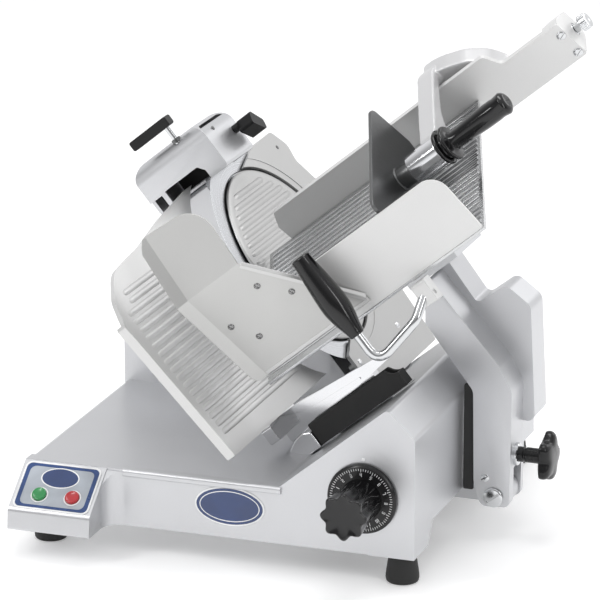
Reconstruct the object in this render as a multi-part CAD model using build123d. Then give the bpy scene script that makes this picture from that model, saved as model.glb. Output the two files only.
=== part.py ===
from build123d import *
import math
import os

# Deli meat slicer.  Millimetres, +Z up.  It is drawn with X = 0 at the outside of the base's right wall,
# Y = 0 at the base's front face and Z = 0 on the counter.  The finished pieces are then moved so that the
# origin is the centre of the bottom of the whole machine's box.
#
# Most of the machine leans: (Y, b, s) is the slanted frame, with s along the knife's axis, up and to the
# right, and b at right angles to it, up and to the left.  The chute has its own section inside that frame:
# t runs back along the chute's floor and u stands square off it.

# --- driving dimensions -----------------------------------------------------------------------------
PHI = 39.5            # rise of the knife's axis, degrees
BASE_W = 524.0        # base casting, left wall to right wall
BASE_D = 535.0        # base casting, front to back
WALL = 6.0            # casting wall
SIDE_Z = 64.5         # lower edge of the side walls
FOOT_H = 36.0         # height of a foot
SKIRT_Z = 37.0        # lower edge of the front skirt
DECK_Z = 112.0        # receiving deck
CORNER_Z = 195.0      # top of the right wall
RIDGE_X, RIDGE_Z = -36.0, 231.0     # ridge of the slide housing
TOE_X = -180.0        # where the slide housing's slope meets the deck
POD_X = -412.0        # right side of the control pod
POD_Y = -62.0         # top front edge of the control pod
REAR_Y, REAR_Z = 345.0, 215.0       # raised motor bay: front and top
KNIFE_R = 165.0       # knife, 330 mm across
KNIFE_Y, KNIFE_B = 411.0, 417.0     # knife centre
KNIFE_S = -47.0       # plane of the cutting edge
COVER_R = 134.5       # knife cover
TOWER_Y0, TOWER_Y1 = 350.0, 560.0   # knife housing
TOWER_TOP = 480.0
TOWER_S0, TOWER_S1 = -140.0, -58.0
INCLINE_B = 204.0     # the slide housing's slope, in the slanted frame
GAUGE_S = -80.0       # face of the gauge plate, shown 33 mm open
CHUTE_Y, CHUTE_B = 90.0, 311.0      # lower front corner of the chute
CHUTE_TILT = 28.6     # rise of the chute floor towards the back
WALL_LEAN = 13.3      # lean of the chute's front wall towards the operator
FLOOR_W = 267.0       # chute floor, front wall to fence
FLOOR_S0, FLOOR_S1 = -36.0, 333.0
ROD_T, ROD_U = 300.0, -20.0         # slide rod of the end weight
PUSH_T, PUSH_U = 140.0, 45.0        # axis of the end weight's handle
PUSH_S = 238.0        # handle side of the pusher plate
ARM_Y = 200.0         # front face of the chute arm
PIVOT_X, PIVOT_Z = 43.0, 58.0       # tilt pivot of the chute arm
RAIL_X, RAIL_Z, RAIL_R = -60.0, 86.0, 11.0       # round rail of the carriage
GUIDE_X, GUIDE_R = -130.0, 7.0      # second rail
DIAL_X, DIAL_Z = -67.5, 111.6       # index dial
SHARP_Y0, SHARP_Y1 = 320.0, 420.0   # sharpener housing
SHARP_B0, SHARP_B1 = 566.0, 636.0
SHARP_S0, SHARP_S1 = -130.0, -4.0
FIT = 0.05            # running fit, radial
GAP = 0.5             # clearance between pieces that move past each other

COS, SIN = math.cos(math.radians(PHI)), math.sin(math.radians(PHI))
T_COS, T_SIN = math.cos(math.radians(CHUTE_TILT)), math.sin(math.radians(CHUTE_TILT))
SLANT = Plane(origin=(0, 0, 0), x_dir=(0, 1, 0), z_dir=(COS, 0, SIN))


# --- helpers ----------------------------------------------------------------------------------------
def outline(points, radii=0.0):
    """A flat face from corner points, with one corner radius or a list of them."""
    if radii == 0.0:
        return make_face(Polyline(*points, close=True))
    return make_face(FilletPolyline(*points, radius=radii, close=True))


def inset(points, depth):
    """The corner points of an outline moved inwards by a wall's depth."""
    count = len(points)
    area = sum(points[i - 1][0] * points[i][1] - points[i][0] * points[i - 1][1] for i in range(count))
    turn = 1 if area > 0 else -1
    moved = []
    for i in range(count):
        before, here, after = points[i - 1], points[i], points[(i + 1) % count]
        run_a = Vector(here[0] - before[0], here[1] - before[1]).normalized()
        run_b = Vector(after[0] - here[0], after[1] - here[1]).normalized()
        normal_a = Vector(-run_a.Y, run_a.X) * turn
        normal_b = Vector(-run_b.Y, run_b.X) * turn
        push = (normal_a + normal_b) * (depth / (1 + normal_a.dot(normal_b)))
        moved.append((here[0] + push.X, here[1] + push.Y))
    return moved


def along_y(points, y0, y1, radii=0.0):
    """An outline in (X, Z), extruded from y0 to y1."""
    plane = Plane(origin=(0, y1, 0), x_dir=(1, 0, 0), z_dir=(0, -1, 0))
    return extrude(plane * outline(points, radii), amount=y1 - y0)


def along_x(points, x0, x1, radii=0.0):
    """An outline in (Y, Z), extruded from x0 to x1."""
    plane = Plane(origin=(x0, 0, 0), x_dir=(0, 1, 0), z_dir=(1, 0, 0))
    return extrude(plane * outline(points, radii), amount=x1 - x0)


def along_z(points, z0, z1, radii=0.0):
    """An outline in (X, Y), extruded from z0 to z1."""
    return extrude(Plane.XY.offset(z0) * outline(points, radii), amount=z1 - z0)


def along_s(points, s0, s1, radii=0.0):
    """An outline in (Y, b), extruded along the knife's axis from s0 to s1."""
    return extrude(SLANT.offset(s0) * outline(points, radii), amount=s1 - s0)


def rectangle(a0, a1, b0, b1):
    """The four corners of a rectangle."""
    return [(a0, b0), (a1, b0), (a1, b1), (a0, b1)]


def block(x0, x1, y0, y1, z0, z1):
    """A box given by its limits."""
    return along_z(rectangle(x0, x1, y0, y1), z0, z1)


def slant_block(y0, y1, b0, b1, s0, s1):
    """A box in the slanted frame, given by its limits."""
    return along_s(rectangle(y0, y1, b0, b1), s0, s1)


def rod_y(x, z, y0, y1, radius):
    """A round bar along Y."""
    plane = Plane(origin=(x, y0, z), x_dir=(1, 0, 0), z_dir=(0, 1, 0))
    return extrude(plane * Circle(radius), amount=y1 - y0)


def rod_x(y, z, x0, x1, radius):
    """A round bar along X."""
    plane = Plane(origin=(x0, y, z), x_dir=(0, 1, 0), z_dir=(1, 0, 0))
    return extrude(plane * Circle(radius), amount=x1 - x0)


def rod_z(x, y, z0, z1, radius):
    """A round bar along Z."""
    return extrude(Plane(origin=(x, y, z0)) * Circle(radius), amount=z1 - z0)


def rod_s(y, b, s0, s1, radius):
    """A round bar along the knife's axis."""
    return extrude(SLANT.offset(s0) * Pos(y, b, 0) * Circle(radius), amount=s1 - s0)


def rod_b(y, s, b0, b1, radius):
    """A round bar at right angles to the knife's axis, in the slanted frame."""
    plane = Plane(origin=slant_point(y, b0, s), x_dir=(0, 1, 0), z_dir=(-SIN, 0, COS))
    return extrude(plane * Circle(radius), amount=b1 - b0)


def slant_point(y, b, s):
    """The machine coordinates of a point of the slanted frame."""
    return (s * COS - b * SIN, y, s * SIN + b * COS)


def turned(origin, x_dir, z_dir, profile):
    """A solid of revolution about z_dir, from (radius, height) points."""
    plane = Plane(origin=origin, x_dir=x_dir, z_dir=z_dir)
    section = Plane(origin=origin, x_dir=x_dir, z_dir=-plane.y_dir)
    return revolve(section * outline(profile), Axis(origin, z_dir), 360)


def turned_s(y, b, profile):
    """A solid of revolution about a line along the knife's axis, from (radius, s) points."""
    return turned(slant_point(y, b, 0), (0, 1, 0), (COS, 0, SIN), profile)


def tu(t, u):
    """The (Y, b) of a point of the chute's section."""
    return (CHUTE_Y + t * T_COS - u * T_SIN, CHUTE_B + t * T_SIN + u * T_COS)


def chute_prism(points, s0, s1, radii=0.0):
    """An outline in the chute's (t, u), extruded along the knife's axis."""
    return along_s([tu(t, u) for t, u in points], s0, s1, radii)


def chute_rod(t, u, s0, s1, radius):
    """A round bar along the knife's axis, placed in the chute's section."""
    return rod_s(*tu(t, u), s0, s1, radius)


def sheet(foot, head, points, thickness, radii=0.0):
    """A plate through two (Y, b) points; its outline is in (s, distance from foot to head)."""
    run = Vector(head[0] - foot[0], head[1] - foot[1]).normalized()
    up = Vector(-run.Y * SIN, run.X, run.Y * COS)
    along = Vector(COS, 0, SIN)
    plane = Plane(origin=slant_point(*foot, 0), x_dir=along, z_dir=along.cross(up))
    return extrude(plane * outline(points, radii), amount=thickness)


def screw_on(plane, radius, height):
    """A slotted pan head standing on a plane."""
    head = plane * Pos(0, 0, height / 2) * Cylinder(radius, height)
    return head - plane * Pos(0, 0, height) * Box(2 * radius, radius * 0.3, height)


def lobed(plane, radius, depth, lobes, dip):
    """A hand knob: a disc with round hollows around its edge."""
    disc = extrude(plane * Circle(radius), amount=depth)
    for i in range(lobes):
        turn = Rot(0, 0, 360 * i / lobes)
        disc -= extrude(plane * turn * Pos(radius + dip * 0.6, 0) * Circle(dip), amount=depth)
    return disc


# --- base -------------------------------------------------------------------------------------------
BASE_SECTION = [(-BASE_W, SIDE_Z), (0, SIDE_Z), (0, CORNER_Z), (RIDGE_X, RIDGE_Z), (TOE_X, DECK_Z),
                (-BASE_W, DECK_Z)]
POD_SECTION = [(0, SKIRT_Z), (POD_Y - 3, SKIRT_Z), (POD_Y, SIDE_Z), (0, DECK_Z - 0.5)]
REAR_S = TOWER_S1 - WALL             # the motor bay's right side leans with the knife housing
REAR_SECTION = [(-BASE_W, DECK_Z - WALL), ((REAR_S - (DECK_Z - WALL) * SIN) / COS, DECK_Z - WALL),
                ((REAR_S - REAR_Z * SIN) / COS, REAR_Z), (-BASE_W, REAR_Z)]
TOWER = rectangle(TOWER_Y0, TOWER_Y1, INCLINE_B, TOWER_TOP)
TOWER_RADII = [0, 0, 70, 70]
LEG_W, LEG_D = 60.0, 59.0
SLOT = (172.0, 186.0, -40.0, 90.0)   # gauge slot in the slope: Y limits, s limits


def open_below(section):
    """The hollow of a casting's section, carried down past its open underside."""
    lowered = [(a, z - 3 * WALL if z <= SIDE_Z else z) for a, z in section]
    return inset(lowered, WALL)


def tower_hollow():
    """The space inside the knife housing, down into the base."""
    space = along_s(inset(rectangle(TOWER_Y0, TOWER_Y1, INCLINE_B - 60, TOWER_TOP), WALL), TOWER_S0 + WALL,
                    TOWER_S1 - WALL, [0, 0, 64, 64])
    return space & block(-BASE_W, 0, REAR_Y, BASE_D, DECK_Z - WALL - 1, REAR_Z + 300)


def base_outside():
    """The casting as one solid lump."""
    body = along_y(BASE_SECTION, 0, BASE_D)
    body += along_y(REAR_SECTION, REAR_Y, BASE_D)
    return body + along_x(POD_SECTION, -BASE_W, POD_X)


def base_casting():
    """Deck, slide housing, motor bay and control pod in one hollow casting with four legs."""
    body = base_outside()
    body -= along_y(open_below(BASE_SECTION), WALL, BASE_D - WALL)
    bay = inset([(x, z - 3 * WALL if z < REAR_Z else z) for x, z in REAR_SECTION], WALL)
    body -= along_y(bay, REAR_Y + WALL, BASE_D - WALL) & block(-BASE_W, -190, 0, BASE_D,
                                                               DECK_Z - WALL - 1, REAR_Z)
    body -= along_x(inset([(WALL * 2, 0), (POD_Y - 3, 0), (POD_Y, SIDE_Z), (WALL * 2, DECK_Z)], WALL),
                    -BASE_W + WALL, POD_X - WALL)
    body += block(POD_X - WALL, 0, 0, WALL, SKIRT_Z, SIDE_Z)
    for x0, x1 in ((-BASE_W, -BASE_W + LEG_W), (-LEG_W, 0)):
        body += block(x0, x1, 0, LEG_D, FOOT_H, SIDE_Z)
        body += block(x0, x1, BASE_D - LEG_D, BASE_D, FOOT_H, SIDE_Z)
    for s0 in (-64.0, 95.0):
        body += slant_block(GAUGE_ROD_Y - 10, GAUGE_ROD_Y + 10, GAUGE_ROD_B - 10, INCLINE_B - 3, s0, s0 + 10)
    body -= slant_block(SLOT[0], SLOT[1], INCLINE_B - 2 * WALL, INCLINE_B + WALL, SLOT[2], SLOT[3])
    body -= rod_s(GAUGE_ROD_Y, GAUGE_ROD_B, -64, 105, GAUGE_ROD_R)
    body -= rod_y(DIAL_X, DIAL_Z, -1, WALL + 1, INDEX_R + FIT)
    body -= tower_hollow()
    return body - rod_y(INLET_X, INLET_Z, BASE_D - 2 * WALL, BASE_D + 1, INLET_R)


INLET_X, INLET_Z, INLET_R = -470.0, 90.0, 8.0
GAUGE_ROD_Y, GAUGE_ROD_B, GAUGE_ROD_R = 95.0, 178.0, 7.0
INDEX_R = 8.0


def bottom_cover():
    """Sheet over the underside, clear of the carriage's opening."""
    plate = block(-BASE_W + WALL + 1, -150, WALL + 1, BASE_D - WALL - 1, SIDE_Z, SIDE_Z + 2)
    for x, y in ((-500, 22), (-500, 505)):
        plate -= rod_z(x, y, SIDE_Z, SIDE_Z + 2, 5)
    return plate


def foot(x, y):
    """A tapered rubber foot with its stud."""
    profile = [(0, 0), (20.5, 0), (21.5, 2), (21.5, 6), (17.5, FOOT_H), (0, FOOT_H)]
    return turned((x, y, 0), (1, 0, 0), (0, 0, 1), profile)


def panel_plane():
    """The sloping top of the control pod; x is the machine's X, y runs up the slope."""
    rise = Vector(0, -POD_Y, DECK_Z - 0.5 - SIDE_Z).normalized()
    return Plane(origin=(0, POD_Y, SIDE_Z), x_dir=(1, 0, 0), z_dir=Vector(1, 0, 0).cross(rise))


PANEL_L = math.hypot(POD_Y, DECK_Z - 0.5 - SIDE_Z)
PANEL_T = 1.6
START = (-488.0, 25.3)               # X, distance up the slope
STOP = (-443.0, 25.8)
BUTTON_R = 9.3
BUTTON_TRAVEL = 1.0


def control_panel():
    """The overlay plate with its raised rim and two button holes."""
    plane = panel_plane()
    corners = rectangle(-BASE_W + 4, POD_X - 4, 3, PANEL_L - 3)
    plate = extrude(plane * outline(corners, 9), amount=PANEL_T)
    window = extrude(plane.offset(PANEL_T - 0.4) * outline(inset(corners, 3), 6), amount=1)
    plate -= window
    for x, d in (START, STOP):
        plate -= extrude(plane * Pos(x, d, 0) * Circle(BUTTON_R + 0.6), amount=PANEL_T)
    return plate


def push_button(x, d):
    """A domed button head."""
    plane = panel_plane()
    height = PANEL_T + 2.2
    head = extrude(plane.offset(BUTTON_TRAVEL + 0.4) * Pos(x, d, 0) * Circle(BUTTON_R), amount=height)
    return chamfer(head.faces().sort_by(Axis((0, 0, 0), plane.z_dir))[-1].edges(), 1)


def switch_block():
    """Contact block and relay under the panel."""
    return block(-BASE_W + 20, POD_X - 20, 12, 70, 70, 98)


def badge():
    """Blank oval plate on the front of the base."""
    plane = Plane(origin=(-245, 0, 79.5), x_dir=(1, 0, 0), z_dir=(0, -1, 0))
    return extrude(plane * Ellipse(47, 26), amount=1.6)


def power_inlet():
    """Cord gland on the back of the base."""
    gland = turned((INLET_X, BASE_D - WALL, INLET_Z), (1, 0, 0), (0, 1, 0),
                   [(4, -5), (8, -5), (8, 6), (14, 6), (14, 11), (11, 14), (9, 24), (4, 24)])
    return gland


# --- carriage under the base ------------------------------------------------------------------------
RAIL_Y0, RAIL_Y1 = 70.0, 504.0


def slide_rail():
    """Round rail that the carriage runs on."""
    return rod_y(RAIL_X, RAIL_Z, RAIL_Y0, RAIL_Y1, RAIL_R)


def guide_rail():
    """Second rail that keeps the carriage level."""
    return rod_y(GUIDE_X, RAIL_Z, RAIL_Y0, RAIL_Y1, GUIDE_R)


def rail_brackets():
    """Plates at both ends that hang the rails from the right wall."""
    plates = []
    for y0 in (RAIL_Y0, RAIL_Y1 - 14):
        plate = block(-145, -WALL, y0, y0 + 14, 72, 102)
        plate -= rod_y(RAIL_X, RAIL_Z, y0, y0 + 14, RAIL_R)
        plates.append(plate - rod_y(GUIDE_X, RAIL_Z, y0, y0 + 14, GUIDE_R))
    return Compound(children=plates)


def carriage_block():
    """Bearing block on the rails, with the arm's bracket reaching out under the wall."""
    body = block(-84, -36, 222, 263, 68, 103) + block(-142, -84, 226, 259, 74, 98)
    body += block(-84, PIVOT_X, 222, 250, 44, 61.5) + block(-84, -36, 222, 250, 60, 70)
    body += rod_y(PIVOT_X, PIVOT_Z, 218, 251, 19)
    body -= rod_y(RAIL_X, RAIL_Z, 222, 263, RAIL_R + FIT)
    body -= rod_y(GUIDE_X, RAIL_Z, 222, 263, GUIDE_R + FIT)
    return body - rod_y(PIVOT_X, PIVOT_Z, 217, 252, 9)


def pivot_pin():
    """Pin that the chute arm tilts on, with a slotted head."""
    pin = rod_y(PIVOT_X, PIVOT_Z, 198.5, 263, 9)
    head = turned((PIVOT_X, 198.5, PIVOT_Z), (1, 0, 0), (0, -1, 0),
                  [(0, 0), (13, 0), (13, 1.5), (11, 3), (0, 3)])
    return pin + head - block(PIVOT_X - 12, PIVOT_X + 12, 195, 197, PIVOT_Z - 1.5, PIVOT_Z + 1.5)


# --- chute arm --------------------------------------------------------------------------------------
ARM_SECTION = [(25, 44), (64, 46), (66, 203), (49, 235), (-52, 350), (-51, 283), (14, 199), (16, 77)]
BOX_SECTION = [(16, 152), (82, 148), (74, 304), (40, 329), (3, 300), (-44, 362), (-52, 350), (-50, 283),
               (14, 199)]


def chute_arm():
    """Cast arm from the tilt pivot up to the chute's floor."""
    arm = along_y(ARM_SECTION, ARM_Y, 262, [12, 6, 14, 6, 4, 4, 8, 6])
    arm += along_y(BOX_SECTION, 252, 306, [4, 8, 8, 6, 6, 4, 4, 4, 6])
    corners = [(ARM_Y, 296), (306, 296), (306, under_floor(306)), (ARM_Y, under_floor(ARM_Y))]
    arm += along_s(corners, 152, 232)
    arm -= block(-10, 90, 217.4, 251.6, 20, 96)
    arm -= rod_y(PIVOT_X, PIVOT_Z, ARM_Y - 1, 263, 9 + FIT)
    return arm - rod_x(LOCK_Y, LOCK_Z, LOCK_X - 12, LOCK_X + 6, LOCK_R + FIT)


def under_floor(y):
    """The b of the chute floor's underside at a given Y."""
    return tu((y - CHUTE_Y - FLOOR_T * T_SIN) / T_COS, -FLOOR_T)[1]


LOCK_Y, LOCK_Z, LOCK_X, LOCK_R = 225.0, 112.0, 64.5, 10.0
FLOOR_T = 4.0


def tilt_lock():
    """Lobed knob and stem that lock the arm's tilt."""
    stem = rod_x(LOCK_Y, LOCK_Z, LOCK_X - 11, 101, LOCK_R)
    plane = Plane(origin=(100, LOCK_Y, LOCK_Z), x_dir=(0, 1, 0), z_dir=(1, 0, 0))
    return stem + lobed(plane, 34, 18, 5, 10)


# --- chute ------------------------------------------------------------------------------------------
def chute_floor():
    """Flat floor of the chute."""
    return chute_prism(rectangle(0, FLOOR_W, -FLOOR_T, 0), FLOOR_S0, FLOOR_S1)


def chute_front_wall():
    """Front wall of the chute, leaning towards the operator."""
    lean = math.radians(WALL_LEAN)
    foot_point = (CHUTE_Y + 1.5, CHUTE_B)
    head_point = (foot_point[0] - math.sin(lean), foot_point[1] + math.cos(lean))
    corners = rectangle(100, 330, 0, 93)
    wall = sheet(foot_point, head_point, corners, -4, [0, 0, 25, 6])
    return wall - chute_prism(rectangle(-20, 60, -60, 0), 90, 340)


FOLD = (31.0, 457.0)                 # fold of the thumb guard, (Y, b)


def thumb_guard():
    """Folded guard between the hand and the knife."""
    lower = sheet((87, 316), FOLD, [(-44, 5), (151, 5), (151, 11), (61, 149), (60, 151.7), (-44, 151.7)],
                  -2.5)
    upper = sheet(FOLD, (42, 557), [(-44, 0), (60, 0), (60, 92), (-27, 98), (-44, 86)], -2.5,
                  [0, 0, 36, 3, 3])
    seam = along_s([FOLD, (FOLD[0] + 2.9, FOLD[1] - 1.4), (FOLD[0] + 2.9, FOLD[1] + 1.4)], -44, 60)
    return lower + upper + seam


def guard_screws():
    """Four screws through the thumb guard's lower panel."""
    lower = Vector(FOLD[0] - 87, FOLD[1] - 316).normalized()
    heads = []
    for s, d in ((-12, 88), (6, 55), (56, 112), (84, 78)):
        y, b = 87 + lower.X * d, 316 + lower.Y * d
        normal = Vector(COS, 0, SIN).cross(Vector(-lower.Y * SIN, lower.X, lower.Y * COS))
        plane = Plane(origin=slant_point(y, b, s), x_dir=(COS, 0, SIN), z_dir=normal)
        heads.append(screw_on(plane, 4.5, 2))
    return Compound(children=heads)


def chute_fence():
    """Tall plate at the back of the floor, with the supports of the slide rod."""
    corners = [(3, -41), (484, -41), (484, 20), (392, 20), (381, 46), (14, 46), (3, 24)]
    plate = sheet(tu(FLOOR_W + 1, 0), tu(FLOOR_W + 1, 1), corners, -7, [3, 4, 4, 6, 6, 4, 4])
    end = [(FLOOR_W + 8, -40), (306, -40), (316, -32), (316, 2), (282, 19), (FLOOR_W + 8, 20)]
    plate += chute_prism(end, 460, 484)
    plate += chute_prism([(FLOOR_W + 8, -38), (316, -38), (316, -2), (FLOOR_W + 8, -2)], 20, 34)
    return plate - chute_rod(ROD_T, ROD_U, 19, 485, ROD_R)


ROD_R = 9.0
SLEEVE_R = 17.0


def fence_screws():
    """Two slotted screws on the end of the fence."""
    heads = []
    for s, u in ((477, 2), (476, -32)):
        plane = fence_face(s, u)
        heads.append(screw_on(plane, 6.5, 2.2))
    return Compound(children=heads)


def fence_face(s, u):
    """A plane on the fence's front face, facing the operator."""
    y, b = tu(FLOOR_W + 1, u)
    normal = Vector(T_SIN * SIN, -T_COS, -T_SIN * COS)
    return Plane(origin=slant_point(y, b, s), x_dir=(COS, 0, SIN), z_dir=normal)


def weight_rod():
    """Rod that the end weight slides on."""
    return chute_rod(ROD_T, ROD_U, 20, 484, ROD_R)


def fence_thumbscrew():
    """Knurled thumbscrew on the end of the rod."""
    return chute_rod(ROD_T, ROD_U, 484.5, 505, 11) - chute_rod(ROD_T, ROD_U, 503, 506, 4)


GRIP_Y, GRIP_S = 45.0, 127.0
GRIP_B0, GRIP_B1 = 296.0, 418.0
HANDLE_R = 6.5


def handle_rod():
    """Polished rod from the chute's front edge to the grip."""
    path = FilletPolyline(slant_point(84, 292, 224), slant_point(60, 268, 196),
                          slant_point(GRIP_Y, 253, GRIP_S),
                          slant_point(GRIP_Y, 322, GRIP_S), radius=[26, 16])
    start = Plane(origin=path @ 0, z_dir=path % 0)
    rod = sweep(start * Circle(HANDLE_R), path=path)
    mount = slant_block(72, 93, 272, 305, 210, 232)
    return rod + mount


def handle_grip():
    """Black double-tapered grip."""
    low = slant_point(GRIP_Y, GRIP_B0, GRIP_S)
    span = GRIP_B1 - GRIP_B0
    profile = [(HANDLE_R + FIT, 0), (9, 0), (10.5, 2), (18.5, span * 0.4), (18.5, span * 0.46),
               (13.5, span * 0.95), (9, span),
               (0, span), (0, 30), (HANDLE_R + FIT, 30)]
    return turned(low, (0, 1, 0), (-SIN, 0, COS), profile)


# --- end weight -------------------------------------------------------------------------------------
WEIGHT_T0, WEIGHT_T1 = 33.0, 240.0
ARM_S0, ARM_S1, ARCH_S = 288.0, 314.0, 388.0
POCKET_S0, POCKET_S1 = 315.0, 370.0      # room for the sliding hub under the arch
HANDLE_S = 308.0


def pusher_plate():
    """Plate that presses the product, with its stub."""
    corners = [(WEIGHT_T0, 6), (WEIGHT_T1 - 12, 6), (WEIGHT_T1, 27), (WEIGHT_T1, 101), (WEIGHT_T0, 101)]
    plate = chute_prism(corners, PUSH_S - 5, PUSH_S, [8, 2, 2, 12, 12])
    return plate + chute_rod(PUSH_T, PUSH_U, PUSH_S - 1, 262, 15)


def weight_arm():
    """Polished arm over the fence, widening into an arch that carries the two sleeves of the slide rod."""
    corners = [(136, 34), (165, 34), (205, 50), (262, 53), (278, 53), (285, 44), (285, -30), (316, -30),
               (316, 40),
               (304, 60), (286, 67), (205, 67), (150, 66), (130, 58)]
    arm = chute_prism(corners, ARM_S0, ARM_S1, [8, 10, 30, 8, 5, 4, 4, 4, 14, 14, 14, 30, 10, 8])
    arch = [(ARM_S0, -34), (ARCH_S, -34), (ARCH_S, 2), (378, 24), (354, 46), (320, 60), (ARM_S0, 62)]
    arm += sheet(tu(285, 0), tu(285, 1), arch, -31)
    arm += chute_rod(PUSH_T, PUSH_U, 262, HANDLE_S, 20)
    arm += chute_rod(ROD_T, ROD_U, ARM_S0 - 2, ARCH_S + 2, SLEEVE_R)
    arm -= chute_prism([(280, -45), (320, -45), (320, -14), (280, -14)], POCKET_S0, POCKET_S1)
    arm -= chute_rod(ROD_T, ROD_U, POCKET_S0, POCKET_S1, SLEEVE_R + 2)
    arm -= chute_rod(PUSH_T, PUSH_U, HANDLE_S, ARM_S1 + 1, 24)
    return arm - chute_rod(ROD_T, ROD_U, ARM_S0 - 3, ARCH_S + 3, ROD_R + FIT)


def weight_handle():
    """Black grip with two flanges."""
    y, b = tu(PUSH_T, PUSH_U)
    profile = [(0, 308), (22, 308), (22, 314), (17, 315), (17, 318), (22, 319), (22, 325), (13, 327),
               (12, 334),
               (14.5, 375), (14.5, 400), (12, 412), (7, 418), (0, 418)]
    return turned_s(y, b, profile)


def weight_slide():
    """Hub that slides along the rod and carries the swinging arm."""
    hub = chute_rod(ROD_T, ROD_U, POCKET_S0 + 1, POCKET_S1 - 1, SLEEVE_R)
    return hub - chute_rod(ROD_T, ROD_U, POCKET_S0, POCKET_S1, ROD_R + FIT)


# --- knife ------------------------------------------------------------------------------------------
SHAFT_R = 20.0
BORE_R = 9.0
WORM_S = -99.0
WORM_WHEEL_R = 40.0
WORM_Y = KNIFE_Y + 52.0


def knife_blade():
    """Hollow-ground circular knife with a bevelled edge."""
    profile = [(22, -52), (152, -52), (KNIFE_R, KNIFE_S - 0.5), (KNIFE_R, KNIFE_S), (136, -48.4),
               (128, -49.6), (22, -49.6)]
    return turned_s(KNIFE_Y, KNIFE_B, profile)


def knife_hub():
    """Hollow shaft with the knife's flange and the worm wheel."""
    profile = [(BORE_R, -133.5), (SHAFT_R, -133.5), (SHAFT_R, -107), (WORM_WHEEL_R, -107),
               (WORM_WHEEL_R, -91),
               (SHAFT_R, -91), (SHAFT_R, -57.5), (40, -57.5), (40, -52), (BORE_R, -52)]
    return turned_s(KNIFE_Y, KNIFE_B, profile)


def knife_screws():
    """Four screws that hold the knife on its flange."""
    heads = [rod_s(KNIFE_Y + dy, KNIFE_B + db, -49.6, -47.6, 4) for dy,
             db in ((31, 0), (0, 31), (-31, 0), (0, -31))]
    return Compound(children=heads)


def knife_cover():
    """Round cover over the knife's centre, on a rod through the hollow shaft."""
    profile = [(0, -132), (BORE_R - 1, -132), (BORE_R - 1, -46.4), (COVER_R, -46.4), (COVER_R, -44),
               (COVER_R - 1.5, -43), (0, -43)]
    cover = turned_s(KNIFE_Y, KNIFE_B, profile)
    for i in range(9):
        b = KNIFE_B + 109 - 12.4 * i
        half = math.sqrt((COVER_R - 12) ** 2 - (b - KNIFE_B) ** 2)
        cover += slant_block(KNIFE_Y - half, KNIFE_Y + half, b - 1.5, b + 1.5, -43.5, -41.8)
    return cover


def knife_bearings():
    """The two bearing rings of the shaft."""
    rings = []
    for s0, s1 in ((TOWER_S0 + WALL, TOWER_S0 + WALL + 9), (TOWER_S1 - WALL, TOWER_S1)):
        rings.append(rod_s(KNIFE_Y, KNIFE_B, s0, s1, 30) - rod_s(KNIFE_Y, KNIFE_B, s0, s1, SHAFT_R + FIT))
    return Compound(children=rings)


def knife_housing():
    """Hollow tower behind the knife, standing on the base."""
    tower = along_s(TOWER, TOWER_S0, TOWER_S1, TOWER_RADII)
    tower += rod_s(KNIFE_Y, KNIFE_B, TOWER_S1 - WALL, TOWER_S1 + 3, 62) - rod_s(KNIFE_Y, KNIFE_B,
                                                                                TOWER_S1, TOWER_S1 + 4,
                                                                                44)
    tower -= base_outside()
    hollow = inset(rectangle(TOWER_Y0, TOWER_Y1, INCLINE_B - 60, TOWER_TOP), WALL)
    tower -= along_s(hollow, TOWER_S0 + WALL, TOWER_S1 - WALL, [0, 0, 64, 64])
    tower -= rod_s(KNIFE_Y, KNIFE_B, TOWER_S1 - WALL - 1, TOWER_S1 + 1, 30)
    return tower + sharpener_post()


def sharpener_post():
    """Stub on the tower's top that carries the sharpener."""
    return slant_block(366, 412, TOWER_TOP - 1, SHARP_B0, -112, -70)


GUARD_EDGE = [(436, 553), (493, 568), (572, 571), (592, 543), (584, 518), (602, 477), (614, 430), (612, 300),
              (600, INCLINE_B), (343, INCLINE_B), (343, 268), (378, 282)]


def guard_plate():
    """Plate around the back of the knife, with a rim that covers the knife's edge from behind."""
    plate = along_s(GUARD_EDGE, -46, -41, [2, 6, 8, 8, 8, 12, 30, 30, 4, 4, 4, 2])
    plate -= rod_s(KNIFE_Y, KNIFE_B, -47, -40, COVER_R + 3.5)
    rim = [(510, 568.5), (572, 571), (592, 543), (584, 518), (602, 477), (614, 430), (612, 300),
           (600, INCLINE_B)]
    inner = [(596, INCLINE_B), (607, 300), (609, 430), (597, 476), (579, 518), (586, 543), (569, 566),
             (510, 563.5)]
    plate += along_s(rim + inner, -92, -44)
    for y, b in GUARD_POSTS:
        plate += rod_s(y, b, TOWER_S1, -44, 4)
    return plate


GUARD_POSTS = ((525.0, 255.0), (358.0, 252.0))


def guard_plate_screws():
    """Two flat screws of the guard plate."""
    heads = []
    for y, b in GUARD_POSTS:
        plane = Plane(origin=slant_point(y, b, -41), x_dir=(0, 1, 0), z_dir=(COS, 0, SIN))
        heads.append(screw_on(plane, 5, 1.6))
    return Compound(children=heads)


# --- motor ------------------------------------------------------------------------------------------
MOTOR_B0, MOTOR_B1, MOTOR_R = 226.0, 316.0, 32.0


def motor_body():
    """Motor inside the knife housing, below the worm."""
    case = rod_b(WORM_Y, WORM_S, MOTOR_B0, MOTOR_B1, MOTOR_R)
    case -= rod_b(WORM_Y, WORM_S, MOTOR_B0 + 8, MOTOR_B1 - 8, MOTOR_R - 8)
    return case - rod_b(WORM_Y, WORM_S, MOTOR_B0, MOTOR_B1 + 1, 6 + FIT)


def motor_shaft():
    """Rotor, shaft and worm."""
    shaft = rod_b(WORM_Y, WORM_S, MOTOR_B0 - 2, 452, 6)
    shaft += rod_b(WORM_Y, WORM_S, MOTOR_B0 + 14, MOTOR_B1 - 14, MOTOR_R - 12)
    return shaft + rod_b(WORM_Y, WORM_S, 396, 438, 52 - WORM_WHEEL_R - 0.4)


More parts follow.
